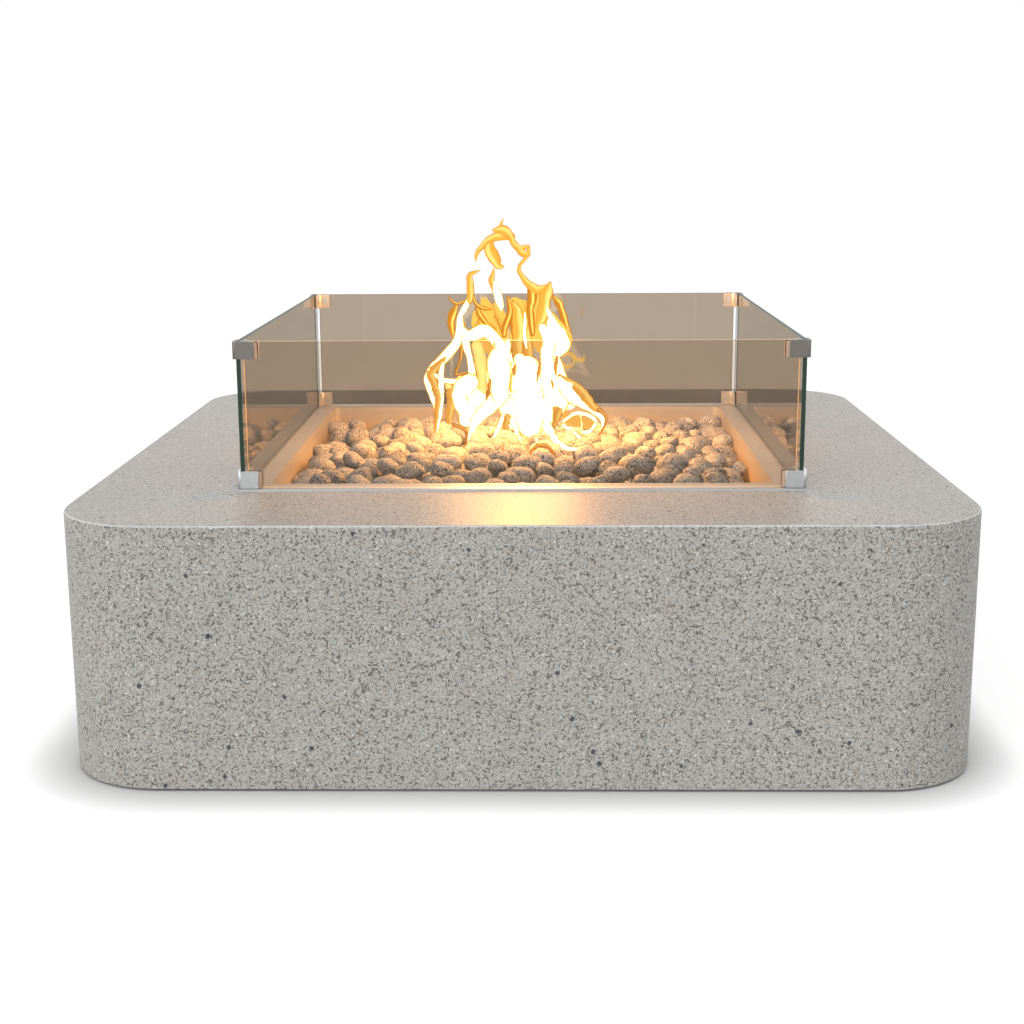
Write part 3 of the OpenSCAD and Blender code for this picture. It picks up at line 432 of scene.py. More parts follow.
FINISHES = {
    "stone": cast_stone(),
    "black_rubber": rubber("black_rubber", (0.02, 0.02, 0.02)),
    "silicone": rubber("silicone", (0.35, 0.35, 0.34)),
    "clear_silicone": clear_silicone(),
    "brushed_stainless": pan_steel(),
    "burner_steel": brushed_metal("burner_steel", (0.38, 0.33, 0.29), 0.42),
    "pipe_steel": brushed_metal("pipe_steel", (0.28, 0.27, 0.26), 0.5, along=(1, 1, 8)),
    "zinc_steel": brushed_metal("zinc_steel", (0.62, 0.62, 0.6), 0.38, along=(6, 6, 6)),
    "brass": brushed_metal("brass", (0.72, 0.52, 0.24), 0.3, along=(8, 8, 8)),
    "hose_steel": brushed_metal("hose_steel", (0.66, 0.66, 0.65), 0.3, along=(8, 8, 8)),
    "chrome": brushed_metal("chrome", (0.74, 0.74, 0.75), 0.2, along=(3, 3, 3), streak=0.1),
    "vent_steel": brushed_metal("vent_steel", (0.6, 0.59, 0.57), 0.34, along=(60, 1, 60)),
    # The second colour of each clamp is painted firelight on the faces that look at the fire
    "upper_clamp": clamp_metal("upper_clamp", (0.165, 0.15, 0.135), (0.7, 0.62, 0.5), 0.36),
    "lower_clamp": clamp_metal("lower_clamp", (0.60, 0.63, 0.65), (0.7, 0.66, 0.6), 0.3),
    "glass_sides": tinted_glass("glass_sides", 0, SIDE_TINT, DARK_EDGE),
    "glass_back": tinted_glass("glass_back", 1, BACK_TINT, DARK_EDGE),
    "glass_front": tinted_glass("glass_front", 1, FRONT_TINT, FRONT_EDGE_HIGHLIGHT),
    "lava_rock": lava_rock(),
}

# Which nodes each finish is for
WORN = {
    "stone": ["stone_shell"],
    "black_rubber": ["rubber_pads", "escutcheon_gasket", "clamp_grips"],
    "silicone": ["guard_feet"],
    "clear_silicone": ["clamp_liners"],
    "brushed_stainless": ["burner_pan"],
    "burner_steel": [
        "burner_hub",
        "burner_crossbar_left",
        "burner_crossbar_right",
        "burner_arm_left",
        "burner_arm_right",
        "burner_end_caps",
    ],
    "pipe_steel": ["gas_nipple"],
    "zinc_steel": ["nipple_washer", "nipple_lock_nut", "vent_screws", "clamp_screws"],
    "brass": [
        "hose_adapter",
        "hose_nut_upper",
        "hose_nut_lower",
        "valve_body",
        "stem_gland",
        "bonnet_nut",
        "gas_inlet_fitting",
    ],
    "hose_steel": ["flex_hose"],
    "chrome": ["escutcheon", "valve_ball", "valve_stem"],
    "vent_steel": ["vent_left", "vent_right"],
    "upper_clamp": [n for n in NODES if n.startswith("clamp_upper")],
    "lower_clamp": [n for n in NODES if n.startswith("clamp_lower")],
    "glass_sides": ["glass_left", "glass_right"],
    "glass_back": ["glass_back"],
    "glass_front": ["glass_front"],
}


def dress_nodes():
    for finish, names in WORN.items():
        for name in names:
            mesh = NODES[name].data
            mesh.materials.clear()
            mesh.materials.append(FINISHES[finish])


# Edges that catch the light

# How the names of nodes start, and how wide their edges are rounded
ROUNDED = {"clamp_upper": 0.6 * MM, "clamp_lower": 0.6 * MM, "glass_": 0.5 * MM}
SHARP = math.radians(40)
SAME_POINT = 0.01 * MM


def ease_edges():
    """Rounds the sharp edges of the clamps and the glass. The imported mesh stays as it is."""
    for name, node in NODES.items():
        for start, width in ROUNDED.items():
            if name.startswith(start):
                weld = node.modifiers.new("weld", "WELD")
                weld.merge_threshold = SAME_POINT
                bevel = node.modifiers.new("ease", "BEVEL")
                bevel.width = width
                bevel.segments = 2
                bevel.limit_method = "ANGLE"
                bevel.angle_limit = SHARP
                bevel.harden_normals = True


# Lava stones

STONE_SEED = 11
# How often the ball under a stone is divided. The upper stones, which can be seen, get the finer one
FINE_BALL, COARSE_BALL = 3, 2
TOP_SHARE = 0.45
# Lumps on a stone: radians of wave from its middle to its skin, and how far they bend it. Each is
# a few crossing waves, and a wave starts anywhere in PHASES radians
LUMPS = (2.4, 0.1), (5.5, 0.035)
WAVES_EACH = 4
PHASES = 6.28
# Dents: how many, how deep as a share of the stone, and the cosine from their middle to their edge
DENTS = 3
DENT_DEPTH = 0.05
DENT_EDGE = 0.75


def stone_groups(mesh):
    """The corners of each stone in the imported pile, one array a stone."""
    work = bmesh.new()
    work.from_mesh(mesh)
    bmesh.ops.remove_doubles(work, verts=work.verts, dist=SAME_POINT)
    left = set(work.verts)
    groups = []
    for first in list(work.verts):
        if first not in left:
            continue
        left.remove(first)
        todo, group = [first], [first]
        while todo:
            for edge in todo.pop().link_edges:
                for vert in edge.verts:
                    if vert in left:
                        left.remove(vert)
                        todo.append(vert)
                        group.append(vert)
        groups.append(np.array([v.co for v in group]))
    work.free()
    groups.sort(key=lambda g: tuple(np.round(g.mean(0), 5)))
    return groups


def sphere(detail):
    work = bmesh.new()
    bmesh.ops.create_icosphere(work, subdivisions=detail, radius=1)
    points = np.array([v.co for v in work.verts])
    faces = np.array([[v.index for v in f.verts] for f in work.faces])
    work.free()
    return points, faces


def tumbled(corners, ball, dice):
    """A worn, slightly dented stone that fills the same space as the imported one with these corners."""
    middle = corners.mean(0)
    size, turn = np.linalg.eigh(np.cov((corners - middle).T, bias=True))
    half = np.sqrt(3 * size)
    power = 2.0 + 0.5 * dice.random()
    round_off = (np.abs(ball) ** power).sum(1) ** (-1 / power)
    shape = ball * round_off[:, None]
    for waves, wander in LUMPS:
        for _ in range(WAVES_EACH):
            way = dice.normal(size=3)
            way *= waves / np.linalg.norm(way)
            swell = np.sin(ball @ way + PHASES * dice.random())
            shape = shape * (1 + 0.5 * wander * swell)[:, None]
    for _ in range(DENTS):
        aim = dice.normal(size=3)
        near = ball @ (aim / np.linalg.norm(aim))
        inside = np.clip((near - DENT_EDGE) / (1 - DENT_EDGE), 0, 1)
        shape = shape * (1 - DENT_DEPTH * inside**1.5)[:, None]
    return middle + (shape * half) @ turn.T


def stone_mesh(name, groups, detail, dice):
    """One mesh for all these stones, with a tone for each."""
    ball, faces = sphere(detail)
    points = [tumbled(group, ball, dice) for group in groups]
    tones = np.repeat(dice.random(len(groups)) ** 1.3, len(ball))
    every = np.concatenate([faces + k * len(ball) for k in range(len(groups))])
    mesh = bpy.data.meshes.new(name)
    mesh.from_pydata(np.concatenate(points).tolist(), [], every.tolist())
    mesh.polygons.foreach_set("use_smooth", np.ones(len(every), bool))
    mesh.attributes.new("tone", "FLOAT", "POINT").data.foreach_set("value", tones.astype(np.float32))
    mesh.materials.append(FINISHES["lava_rock"])
    return mesh


def make_lava_stones():
    dice = np.random.default_rng(STONE_SEED)
    groups = stone_groups(NODES["lava_stones"].data)
    order = np.argsort([-g[:, 2].mean() for g in groups])
    split = int(TOP_SHARE * len(order))
    for name, chosen, detail in (
        ("lava_stones_top", order[:split], FINE_BALL),
        ("lava_stones_under", order[split:], COARSE_BALL),
    ):
        mesh = stone_mesh(name, [groups[k] for k in chosen], detail, dice)
        stones = bpy.data.objects.new(name, mesh)
        SCENE.collection.objects.link(stones)
        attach(stones, "base")
        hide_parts("lava_stones")


# Flames. Each strand of fire was followed on a close-up of the photograph.

# The close-up's pixels for one of the photograph's, and where its corner lies there
CLOSE_UP = 5.81
CLOSE_UP_CORNER = (410, 210)
# Height of the fire's foot, and the close-up's rows between which a strand comes to stand on it
FIRE_FOOT_Z = 0.362
FOOT_STARTS, FOOT_ENDS = 1040, 1330

# Kind of gas, depth in millimetres behind the middle of the pit, and the path: where its middle
# runs, across and down, and its half width there, in the close-up's pixels
STRANDS = [
    # The left horn and the white strand that runs down from it
    ("yellow", 10, [(408, 350, 4), (380, 362, 9), (348, 384, 16), (350, 440, 19), (352, 490, 20),
                    (345, 530, 16)]),
    ("white", 12, [(348, 470, 6), (340, 520, 12), (312, 575, 16), (292, 610, 14), (286, 670, 15),
                   (282, 720, 18), (266, 780, 30), (222, 832, 32), (170, 885, 26), (118, 945, 20),
                   (98, 990, 17), (118, 1060, 17), (142, 1120, 13), (152, 1180, 11), (150, 1240, 9),
                   (132, 1292, 4)]),
    ("yellow", 4, [(210, 850, 8), (160, 905, 20), (120, 960, 24), (140, 1010, 22), (165, 1080, 24),
                   (160, 1150, 22), (155, 1220, 16), (140, 1290, 5)]),
    ("orange", 16, [(222, 496, 3), (238, 526, 7), (270, 546, 9), (322, 528, 8)]),
    ("orange", 20, [(272, 545, 7), (252, 600, 24), (240, 650, 22), (240, 700, 18), (252, 752, 7)]),
    ("orange", 8, [(365, 498, 8), (385, 542, 13), (430, 568, 12), (476, 578, 6)]),
    # The veil behind the left hole, and the bands below it
    ("veil", 36, [(430, 530, 24), (440, 575, 44), (450, 630, 40), (455, 690, 30)]),
    ("orange", 24, [(392, 560, 12), (405, 610, 16), (440, 652, 16), (475, 690, 14), (490, 740, 14)]),
    ("orange", 40, [(470, 540, 6), (492, 600, 10), (520, 660, 10), (545, 720, 6)]),
    ("yellow", 36, [(452, 560, 5), (470, 620, 10), (500, 680, 12), (530, 735, 8)]),
    ("orange", 10, [(312, 640, 5), (318, 690, 10), (350, 704, 13), (388, 680, 12), (400, 640, 6)]),
    ("white", 6, [(306, 690, 14), (340, 730, 32), (400, 712, 36), (440, 700, 36), (490, 750, 36),
                  (540, 810, 40), (560, 870, 40)]),
    ("white", 14, [(300, 600, 7), (306, 680, 12), (322, 760, 22), (340, 830, 20), (356, 900, 20),
                   (360, 960, 24), (340, 1010, 40)]),
    ("pale", 26, [(390, 790, 34), (410, 860, 34), (420, 930, 34), (420, 1010, 30), (410, 1090, 22),
                  (385, 1160, 14)]),
    ("white", 0, [(190, 892, 9), (178, 960, 15), (184, 1040, 15), (182, 1120, 12), (172, 1220, 10),
                  (152, 1300, 5)]),
    ("white", 2, [(112, 932, 9), (180, 984, 14), (262, 996, 15), (330, 972, 14), (362, 950, 12)]),
    ("orange", 22, [(296, 700, 6), (292, 760, 9), (300, 830, 12), (282, 900, 10), (268, 955, 10),
                    (330, 942, 10)]),
    # The strand in the middle, with its blob at the top
    ("yellow", 0, [(548, 330, 6), (516, 326, 24), (492, 285, 32), (470, 240, 34), (468, 205, 26)]),
    ("yellow", 0, [(484, 345, 5), (480, 375, 12), (474, 410, 16), (488, 440, 20), (500, 470, 22)]),
    ("white", -4, [(492, 420, 8), (502, 460, 22), (512, 510, 22), (524, 550, 16), (534, 585, 5)]),
    # The arch at the top
    ("yellow", 2, [(381, 302, 3), (388, 262, 9), (402, 228, 14), (424, 212, 14)]),
    ("yellow", 4, [(408, 226, 12), (438, 190, 20), (490, 162, 24), (545, 150, 26), (590, 150, 20)]),
    ("yellow", -2, [(488, 118, 8), (515, 112, 20), (548, 122, 28), (580, 150, 22), (600, 196, 19),
                    (640, 222, 18), (688, 214, 11)]),
    ("yellow", -2, [(523, 112, 12), (528, 84, 8), (541, 54, 3)]),
    ("yellow", -2, [(612, 190, 12), (650, 250, 22), (690, 262, 9)]),
    ("yellow", 0, [(690, 226, 9), (684, 262, 10), (655, 294, 11), (634, 322, 10), (636, 358, 12),
                   (664, 398, 16), (700, 440, 24), (745, 466, 26), (780, 446, 14)]),
    # The right top
    ("yellow", 6, [(812, 426, 13), (800, 470, 36), (786, 520, 36), (776, 580, 36), (762, 630, 30),
                   (740, 668, 14)]),
    ("orange", 18, [(700, 440, 16), (706, 500, 28), (700, 560, 22), (704, 640, 20), (712, 720, 16)]),
    ("orange", 24, [(836, 500, 8), (862, 535, 24), (876, 580, 22), (900, 640, 20), (922, 700, 14),
                    (936, 744, 5)]),
    ("yellow", 8, [(826, 600, 8), (856, 636, 12), (890, 680, 14), (926, 730, 12), (938, 780, 5)]),
    ("white", -2, [(806, 520, 6), (796, 575, 12), (822, 625, 18), (836, 690, 48), (862, 750, 60),
                   (900, 790, 36), (842, 826, 40)]),
    # The veil in the middle
    ("orange", 40, [(574, 500, 8), (580, 590, 16), (560, 660, 22), (545, 730, 16)]),
    ("yellow", 34, [(600, 540, 14), (622, 600, 30), (632, 690, 34), (626, 790, 34), (640, 850, 22)]),
    ("yellow", 46, [(680, 560, 20), (690, 640, 24), (680, 740, 26), (690, 830, 26), (705, 880, 14)]),
    ("veil", 60, [(610, 540, 34), (650, 590, 60), (650, 660, 70), (650, 760, 70), (650, 850, 50)]),
    ("veil", 62, [(505, 560, 24), (520, 640, 44), (525, 740, 50), (540, 820, 40)]),
    ("veil", 64, [(740, 500, 30), (755, 580, 56), (765, 680, 60), (760, 780, 50)]),
    ("veil", 66, [(380, 600, 20), (400, 660, 40), (440, 720, 50), (470, 790, 50)]),
    ("orange", 50, [(600, 530, 8), (604, 590, 16), (596, 660, 20), (612, 750, 20), (600, 840, 14)]),
    ("white", 28, [(668, 600, 5), (664, 680, 9), (668, 750, 10), (676, 800, 5)]),
    # The white heart of the fire
    ("white", 22, [(478, 850, 16), (486, 920, 44), (506, 1000, 64), (560, 1080, 84), (600, 1160, 84),
                   (640, 1240, 70)]),
    ("white", 26, [(300, 990, 30), (352, 1030, 60), (400, 1080, 76), (400, 1150, 70), (352, 1215, 56)]),
    ("white", 30, [(846, 850, 20), (850, 930, 44), (862, 1000, 64), (900, 1070, 76), (930, 1130, 56)]),
    ("white", 34, [(590, 880, 20), (600, 950, 50), (610, 1050, 70), (600, 1150, 80)]),
    ("white", 0, [(568, 752, 6), (556, 800, 30), (520, 860, 66), (520, 940, 70), (520, 1020, 60),
                  (505, 1090, 56)]),
    ("white", 10, [(640, 870, 40), (670, 910, 84), (690, 990, 110), (700, 1080, 124), (692, 1180, 122),
                   (704, 1260, 84), (730, 1310, 24)]),
    ("white", -10, [(770, 690, 24), (806, 760, 44), (796, 850, 40), (800, 940, 44), (830, 1030, 70),
                    (850, 1100, 80), (800, 1180, 70), (760, 1250, 40)]),
    ("white", -20, [(872, 985, 16), (906, 1030, 44), (956, 1072, 60), (1010, 1112, 44),
                    (1052, 1150, 28), (1090, 1186, 18), (1120, 1230, 12), (1118, 1282, 5)]),
    ("yellow", -16, [(870, 960, 8), (930, 1000, 20), (1000, 1060, 30), (1050, 1130, 30),
                     (1100, 1170, 22), (1134, 1224, 10)]),
    ("white", -10, [(350, 1000, 50), (306, 1040, 60), (300, 1100, 60), (330, 1170, 56),
                    (322, 1240, 36)]),
    ("yellow", -2, [(232, 1040, 20), (240, 1110, 32), (232, 1180, 26), (226, 1240, 20)]),
    ("white", -30, [(540, 1070, 50), (470, 1130, 50), (420, 1180, 40), (378, 1240, 28),
                    (346, 1310, 12), (332, 1350, 4)]),
    ("pale", 20, [(212, 985, 10), (230, 1050, 24), (240, 1130, 26), (236, 1215, 16)]),
    ("veil", -20, [(880, 1180, 20), (950, 1225, 36), (1020, 1240, 36), (1068, 1250, 24)]),
    # Cooler gaps in front of the heart
    ("orange", -70, [(606, 895, 6), (608, 925, 15), (604, 958, 6)]),
    ("orange", -70, [(752, 885, 6), (744, 940, 10), (734, 1000, 5)]),
    ("rim", -70, [(572, 1056, 4), (574, 1085, 7), (564, 1114, 3)]),
    ("rim", -70, [(746, 1070, 3), (752, 1095, 5), (760, 1116, 2)]),
    ("orange", -70, [(822, 990, 6), (830, 1015, 9), (838, 1045, 4)]),
    ("orange", -70, [(868, 1050, 7), (872, 1056, 7)]),
    ("orange", -70, [(852, 850, 8), (850, 900, 12), (846, 955, 6)]),
    ("orange", -70, [(486, 745, 4), (488, 775, 6), (490, 800, 3)]),
    ("orange", -40, [(462, 985, 8), (456, 1050, 14), (440, 1110, 8)]),
    ("yellow", -70, [(866, 1160, 20), (858, 1200, 20), (850, 1235, 10)]),
    # The licks along the stones
    ("white", -60, [(548, 1195, 14), (512, 1270, 12), (478, 1340, 9), (440, 1392, 4)]),
    ("yellow", -56, [(562, 1200, 24), (556, 1290, 14), (544, 1360, 8), (540, 1412, 3)]),
    ("white", -56, [(592, 1220, 24), (622, 1290, 14), (644, 1340, 9), (650, 1386, 4)]),
    ("white", -60, [(726, 1290, 16), (736, 1340, 9), (742, 1402, 4)]),
    ("white", -64, [(790, 1250, 30), (826, 1310, 24), (866, 1358, 20), (930, 1388, 11),
                    (990, 1386, 10), (1008, 1362, 9), (988, 1322, 10), (934, 1280, 10),
                    (890, 1244, 10)]),
    ("yellow", -50, [(850, 1150, 24), (846, 1210, 18), (838, 1250, 12)]),
    ("white", -44, [(890, 1226, 9), (950, 1190, 11), (1020, 1186, 11), (1072, 1220, 12),
                    (1070, 1264, 11), (1010, 1290, 10), (930, 1262, 9)]),
    ("white", -44, [(992, 1190, 6), (996, 1250, 6), (998, 1310, 5)]),
    ("orange", -40, [(1098, 1160, 16), (1138, 1200, 12), (1130, 1260, 9), (1090, 1310, 6)]),
    ("orange", -30, [(250, 1250, 10), (320, 1275, 12), (330, 1330, 12), (312, 1390, 6)]),
    ("orange", -66, [(690, 1420, 6), (740, 1372, 14), (800, 1378, 14), (860, 1440, 5)]),
    # Loose wisps at the right
    ("veil", 40, [(884, 850, 6), (930, 838, 12), (962, 868, 12), (1000, 880, 10), (1012, 850, 5)]),
    ("veil", 44, [(880, 880, 8), (900, 910, 12), (940, 905, 8), (960, 880, 6)]),
    ("orange", 40, [(1020, 566, 1.5), (1003, 592, 3.5), (986, 622, 1.5)]),
]

# What each kind is made of. Each layer is a gas, its share of the path's half width, how much wider
# it is than that, and its shifts sideways and towards the eye, as shares of the half width
KINDS = {
    "orange": (("rim", 1.0, 0.5, 0, 0), ("amber", 1.0, -2, 0, 0), ("yellow", 0.35, 0, 0.25, 0.8)),
    "yellow": (
        ("rim", 1.0, 1.2, 0, 0),
        ("yellow", 1.0, -0.6, 0, 0),
        ("straw", 0.45, -0.5, 0.3, 0.75),
        ("amber", 0.26, 0, -0.5, 0.85),
    ),
    "pale": (("amber", 1.0, 2, 0, 0), ("pale", 1.0, 0, 0, 0), ("gold", 0.9, -2, 0, 0)),
    "white": (("amber", 1.0, 3.2, 0, 0), ("pale", 1.0, 0.6, 0, 0), ("heart", 1.0, -2, 0, 0)),
    "veil": (("mist", 1.0, 2, 0, 0), ("mist", 0.4, 0, 0.4, 0)),
    "rim": (("rim", 1.0, 0, 0, 0), ("rim", 0.6, 0, 0, 0)),
}

# Colour of the gas where it is deep, and how much of red, green and blue a metre of it hides
GASES = {
    "rim": ((0.6, 0.2, 0.02), (380, 560, 760)),
    "amber": ((1.1, 0.53, 0.06), (260, 340, 460)),
    "yellow": ((1.6, 1.05, 0.2), (620, 720, 860)),
    "straw": ((1.45, 1.0, 0.28), (520, 540, 570)),
    "gold": ((3.0, 2.6, 1.3), (520, 540, 570)),
    "pale": ((2.6, 2.1, 0.9), (280, 300, 340)),
    "heart": ((20.0, 18.5, 16.0), (800, 800, 800)),
    "mist": ((1.25, 0.66, 0.11), (120, 170, 240)),
}


def flame_gas(name, colour, density):
    """Burning gas: it hides what is behind it and glows, more the deeper the eye looks into it."""
    f = Finish(name)
    densest = max(density)
    dim = f.add("VolumeAbsorption")
    dim.inputs["Color"].default_value = (*(1 - d / densest for d in density), 1)
    dim.inputs["Density"].default_value = densest
    glows = [c * d for c, d in zip(colour, density)]
    glow = f.add("Emission")
    glow.inputs["Color"].default_value = (*(g / max(glows) for g in glows), 1)
    glow.inputs["Strength"].default_value = max(glows)
    return f.ends(volume=f.both(dim.outputs[0], glow.outputs[0]))


def fire_place(u, v, depth):
    """Where a place in the close-up lies at this depth, or on the stones at the fire's foot."""
    line = sight_line(CLOSE_UP_CORNER[0] + u / CLOSE_UP, CLOSE_UP_CORNER[1] + v / CLOSE_UP)
    foot = EYE + line * ((FIRE_FOOT_Z - EYE.z) / line.z)
    low = min(max((v - FOOT_STARTS) / (FOOT_ENDS - FOOT_STARTS), 0), 1)
    y = (1 - low) * depth * MM + low * foot.y
    return EYE + line * ((y - EYE.y) / line.y)


def smooth_path(points, count):
    """A smooth curve through the points, as count rows."""
    points = np.array(points)
    ends = np.concatenate([2 * points[:1] - points[1:2], points, 2 * points[-1:] - points[-2:-1]])
    rows = []
    for place in np.linspace(0, len(points) - 1, count):
        k = min(int(place), len(points) - 2)
        t = place - k
        a, b, c, d = ends[k : k + 4]
        once, twice, thrice = c - a, 2 * a - 5 * b + 4 * c - d, 3 * b - a - 3 * c + d
        rows.append(0.5 * (2 * b + once * t + twice * t**2 + thrice * t**3))
    return np.array(rows)


# How the air pushes the gas about: the scale of the noise, the push, and where the fine one is read.
# Blender's own noise follows the clock until it is given a seed
AIR_SEED = 1795814863
COARSE_AIR, COARSE_PUSH = 45, 2.2 * MM
FINE_AIR, FINE_PUSH = 130, 0.9 * MM
FINE_SHIFT = Vector((7.1, 3.3, 1.7))


def flicker(point):
    """A small wandering push, as moving air gives the gas."""
    coarse = noise.noise_vector(point * COARSE_AIR)
    fine = noise.noise_vector(point * FINE_AIR + FINE_SHIFT)
    return coarse * COARSE_PUSH + fine * FINE_PUSH


SIDES = 14
ROWS_A_POINT = 6
# How deep a strand is for its width in the picture
DEPTH_SHARE = 1.15
# Least half width of a layer, in the close-up's pixels, and the row where a pixel is measured
THINNEST = 0.6
SCALE_ROW = 600
# Where the rings of a rounded end lie, in radians from its widest ring
END_TURNS = 0.45, 0.9, 1.3
VOXEL = 0.8 * MM


def strand_rings(path, depth, share, wider, sideways, forwards):
    """Rings along one layer of a strand: middle, half width, half depth and the way along."""
    pixel = fire_place(1, SCALE_ROW, 0).x - fire_place(0, SCALE_ROW, 0).x
    rows = smooth_path(path, ROWS_A_POINT * len(path))
    middles = [fire_place(u, v, depth) for u, v, _ in rows]
    rings = []
    for k, (middle, (_, _, width)) in enumerate(zip(middles, rows)):
        along = middles[min(k + 1, len(middles) - 1)] - middles[max(k - 1, 0)]
        away = (middle - EYE).normalized()
        across = along.cross(away).normalized()
        half = max(share * width + wider, THINNEST) * pixel
        deep = max(share * width * DEPTH_SHARE + wider, THINNEST) * pixel
        full = width * pixel
        moved = middle + across * (sideways * full) - away * (forwards * full * DEPTH_SHARE)
        rings.append((moved, across * half, away * deep, along.normalized()))
    return rings


def rounded_end(ring, onwards):
    """Smaller and smaller rings past the last one. Onwards is 1 along the strand and -1 back."""
    middle, across, away, along = ring
    tips = []
    for turn in END_TURNS:
        shrunk = math.cos(turn)
        place = middle + along * onwards * across.length * math.sin(turn)
        tips.append((place, across * shrunk, away * shrunk, along))
    return tips


def skin(rings):
    """The points and faces of a closed tube over the rings, pushed about by the air."""
    points = []
    for middle, across, away, _ in rings:
        for k in range(SIDES):
            angle = 2 * math.pi * k / SIDES
            point = middle + across * math.cos(angle) + away * math.sin(angle)
            points.append(point + flicker(point))
    last = (len(rings) - 1) * SIDES
    faces = []
    for low in range(0, last, SIDES):
        for k in range(SIDES):
            after = (k + 1) % SIDES
            faces.append((low + k, low + after, low + SIDES + after, low + SIDES + k))
    faces.append(tuple(reversed(range(SIDES))))
    faces.append(tuple(range(last, last + SIDES)))
    return points, faces


def make_flames():
    noise.seed_set(AIR_SEED)
    gases = {name: flame_gas(f"flame_{name}", *made_of) for name, made_of in GASES.items()}
    for number, (kind, depth, path) in enumerate(STRANDS):
        for gas, share, *layer in KINDS[kind]:
            rings = strand_rings(path, depth, share, *layer)
            rings = rounded_end(rings[0], -1)[::-1] + rings + rounded_end(rings[-1], 1)
            points, faces = skin(rings)
            name = f"flame_{number}_{gas}_{share:.1f}"
            mesh = bpy.data.meshes.new(name)
            mesh.from_pydata(points, [], faces)
            mesh.materials.append(gases[gas])
            flame = bpy.data.objects.new(name, mesh)
            whole = flame.modifiers.new("whole", "REMESH")
            whole.mode = "VOXEL"
            whole.voxel_size = VOXEL
            flame.visible_shadow = False
            flame.visible_diffuse = False
            SCENE.collection.objects.link(flame)


# Light

AMBIENT = 0.2
FIRE_COLOUR = (1.0, 0.42, 0.08)
# Where each light comes from, its strength and how wide it is in degrees
SUNS = {
    "key": ((-2.4, -2.8, 0.9), 2.52, 80),
    "fill": ((2.6, -3.0, 0.8), 0.9, 80),
    "back": ((0.4, 3.0, 1.0), 0.45, 80),
    "right": ((3.0, 0.9, 0.7), 0.45, 70),
    "top": ((0.0, 0.1, 3.0), 0.74, 44),
}
# Place, power and size, and whether it is mirrored in glass, metal and the honed stone. Such a lamp
# lights nothing else
FIRE_LAMPS = (
    ((-0.14, 0.0, 0.49), 3.2, 0.06, False),
    ((0.14, 0.0, 0.49), 3.2, 0.06, False),
    ((0.0, 0.0, 0.56), 13.5, 0.07, False),
    ((0.0, 0.0, 0.62), 13.0, 0.075, True),
)


def make_world():
    """Even soft light. What the eye, metal and glass see of it is plain white."""
    world = bpy.data.worlds.new("studio")
    SCENE.world = world
    world.use_nodes = True
    tree = world.node_tree
    tree.nodes.clear()
    path = tree.nodes.new("ShaderNodeLightPath")
    shown = path.outputs["Is Camera Ray"]
    for name in ("Is Glossy Ray", "Is Transmission Ray"):
        either = tree.nodes.new("ShaderNodeMath")
        either.operation = "MAXIMUM"
        tree.links.new(shown, either.inputs[0])
        tree.links.new(path.outputs[name], either.inputs[1])
        shown = either.outputs[0]
    level = tree.nodes.new("ShaderNodeMapRange")
    level.inputs["To Min"].default_value = AMBIENT
    level.inputs["To Max"].default_value = 1.0
    tree.links.new(shown, level.inputs["Value"])
    sky = tree.nodes.new("ShaderNodeBackground")
    sky.inputs["Color"].default_value = (1, 1, 1, 1)
    tree.links.new(level.outputs["Result"], sky.inputs["Strength"])
    out = tree.nodes.new("ShaderNodeOutputWorld")
    tree.links.new(sky.outputs[0], out.inputs["Surface"])


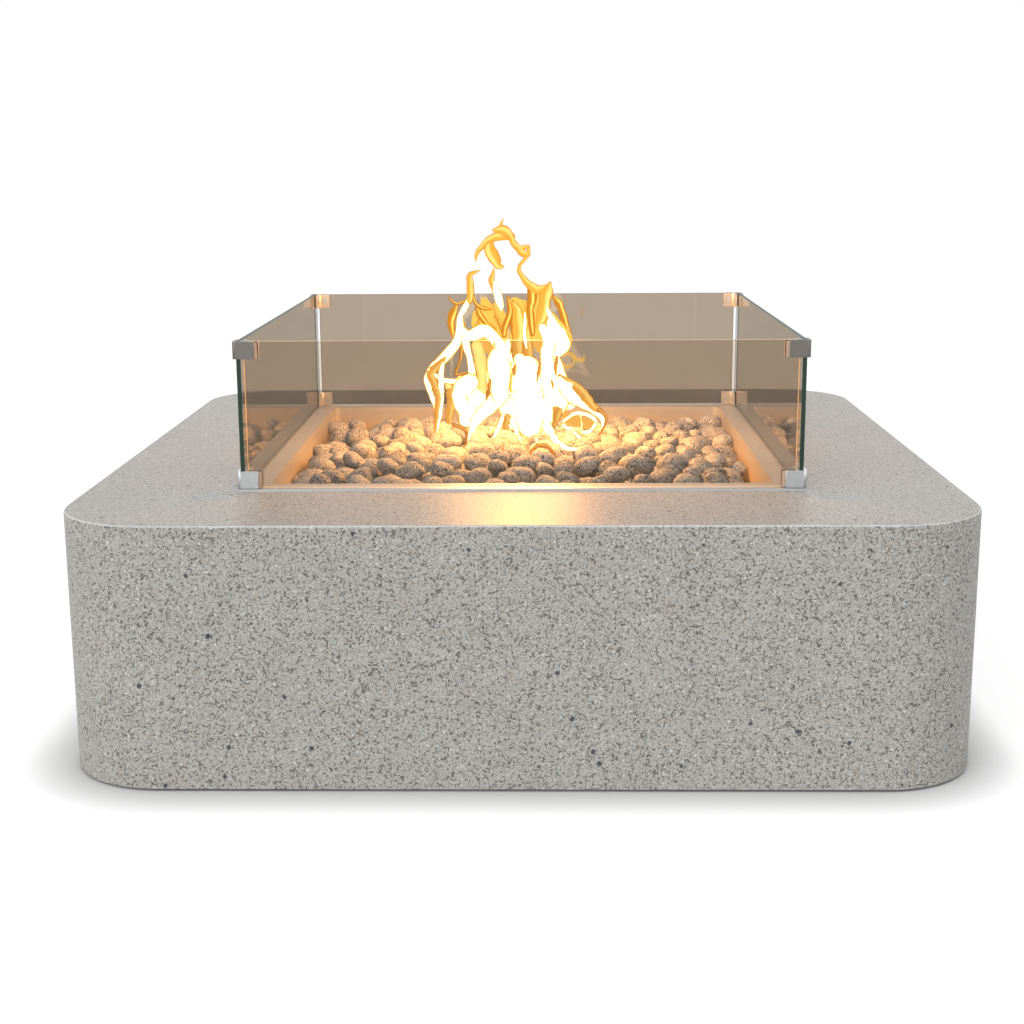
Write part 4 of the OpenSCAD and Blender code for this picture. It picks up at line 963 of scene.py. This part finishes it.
def make_lamps():
    for name, (place, strength, width) in SUNS.items():
        data = bpy.data.lights.new(name, "SUN")
        data.energy = strength
        data.angle = math.radians(width)
        sun = bpy.data.objects.new(name, data)
        sun.rotation_euler = (-Vector(place)).to_track_quat("-Z", "Y").to_euler()
        SCENE.collection.objects.link(sun)
    for number, (place, power, size, mirrored) in enumerate(FIRE_LAMPS):
        data = bpy.data.lights.new(f"fire_{number}", "POINT")
        data.energy = power
        data.color = FIRE_COLOUR
        data.shadow_soft_size = size
        lamp = bpy.data.objects.new(f"fire_{number}", data)
        lamp.location = place
        lamp.visible_camera = False
        lamp.visible_glossy = mirrored
        lamp.visible_diffuse = not mirrored
        SCENE.collection.objects.link(lamp)


# The floor's own grey, what it adds for the eye, and how the contact shadow spreads and deepens
FLOOR_SHADE = 0.62
FLOOR_GLOW = 0.57
SHADOW_REACH = 0.09
SHADOW_POWER = 3.0
SHADOW_RAYS = 8
FLOOR_HALF = 60
FLOOR_Z = -0.4 * MM


def make_floor():
    """A pale floor, white to the eye, with the object's shadow, darkest where the two nearly meet."""
    f = Finish("floor")
    matte = f.add("BsdfDiffuse")
    matte.inputs["Color"].default_value = (FLOOR_SHADE,) * 3 + (1,)
    path = f.add("LightPath").outputs
    mirrored = f.math("MAXIMUM", path["Is Glossy Ray"], path["Is Transmission Ray"])
    seen = f.math("MAXIMUM", path["Is Camera Ray"], mirrored)
    near = f.add("AmbientOcclusion", samples=SHADOW_RAYS)
    near.inputs["Distance"].default_value = SHADOW_REACH
    open_sky = f.math("POWER", near.outputs["AO"], SHADOW_POWER)
    white = f.add("Emission")
    f.feed(white.inputs["Strength"], f.times(seen, FLOOR_GLOW, open_sky))
    mesh = bpy.data.meshes.new("floor")
    around = (-1, -1), (1, -1), (1, 1), (-1, 1)
    corners = [(x * FLOOR_HALF, y * FLOOR_HALF, FLOOR_Z) for x, y in around]
    mesh.from_pydata(corners, [], [(0, 1, 2, 3)])
    mesh.materials.append(f.ends(f.both(matte.outputs[0], white.outputs[0])))
    floor = bpy.data.objects.new("floor", mesh)
    SCENE.collection.objects.link(floor)


make_camera()
dress_nodes()
ease_edges()
make_lava_stones()
make_flames()
make_world()
make_lamps()
make_floor()

SCENE.view_settings.view_transform = "Standard"
# The eye looks through many layers of gas and glass
SCENE.cycles.transparent_max_bounces = 128
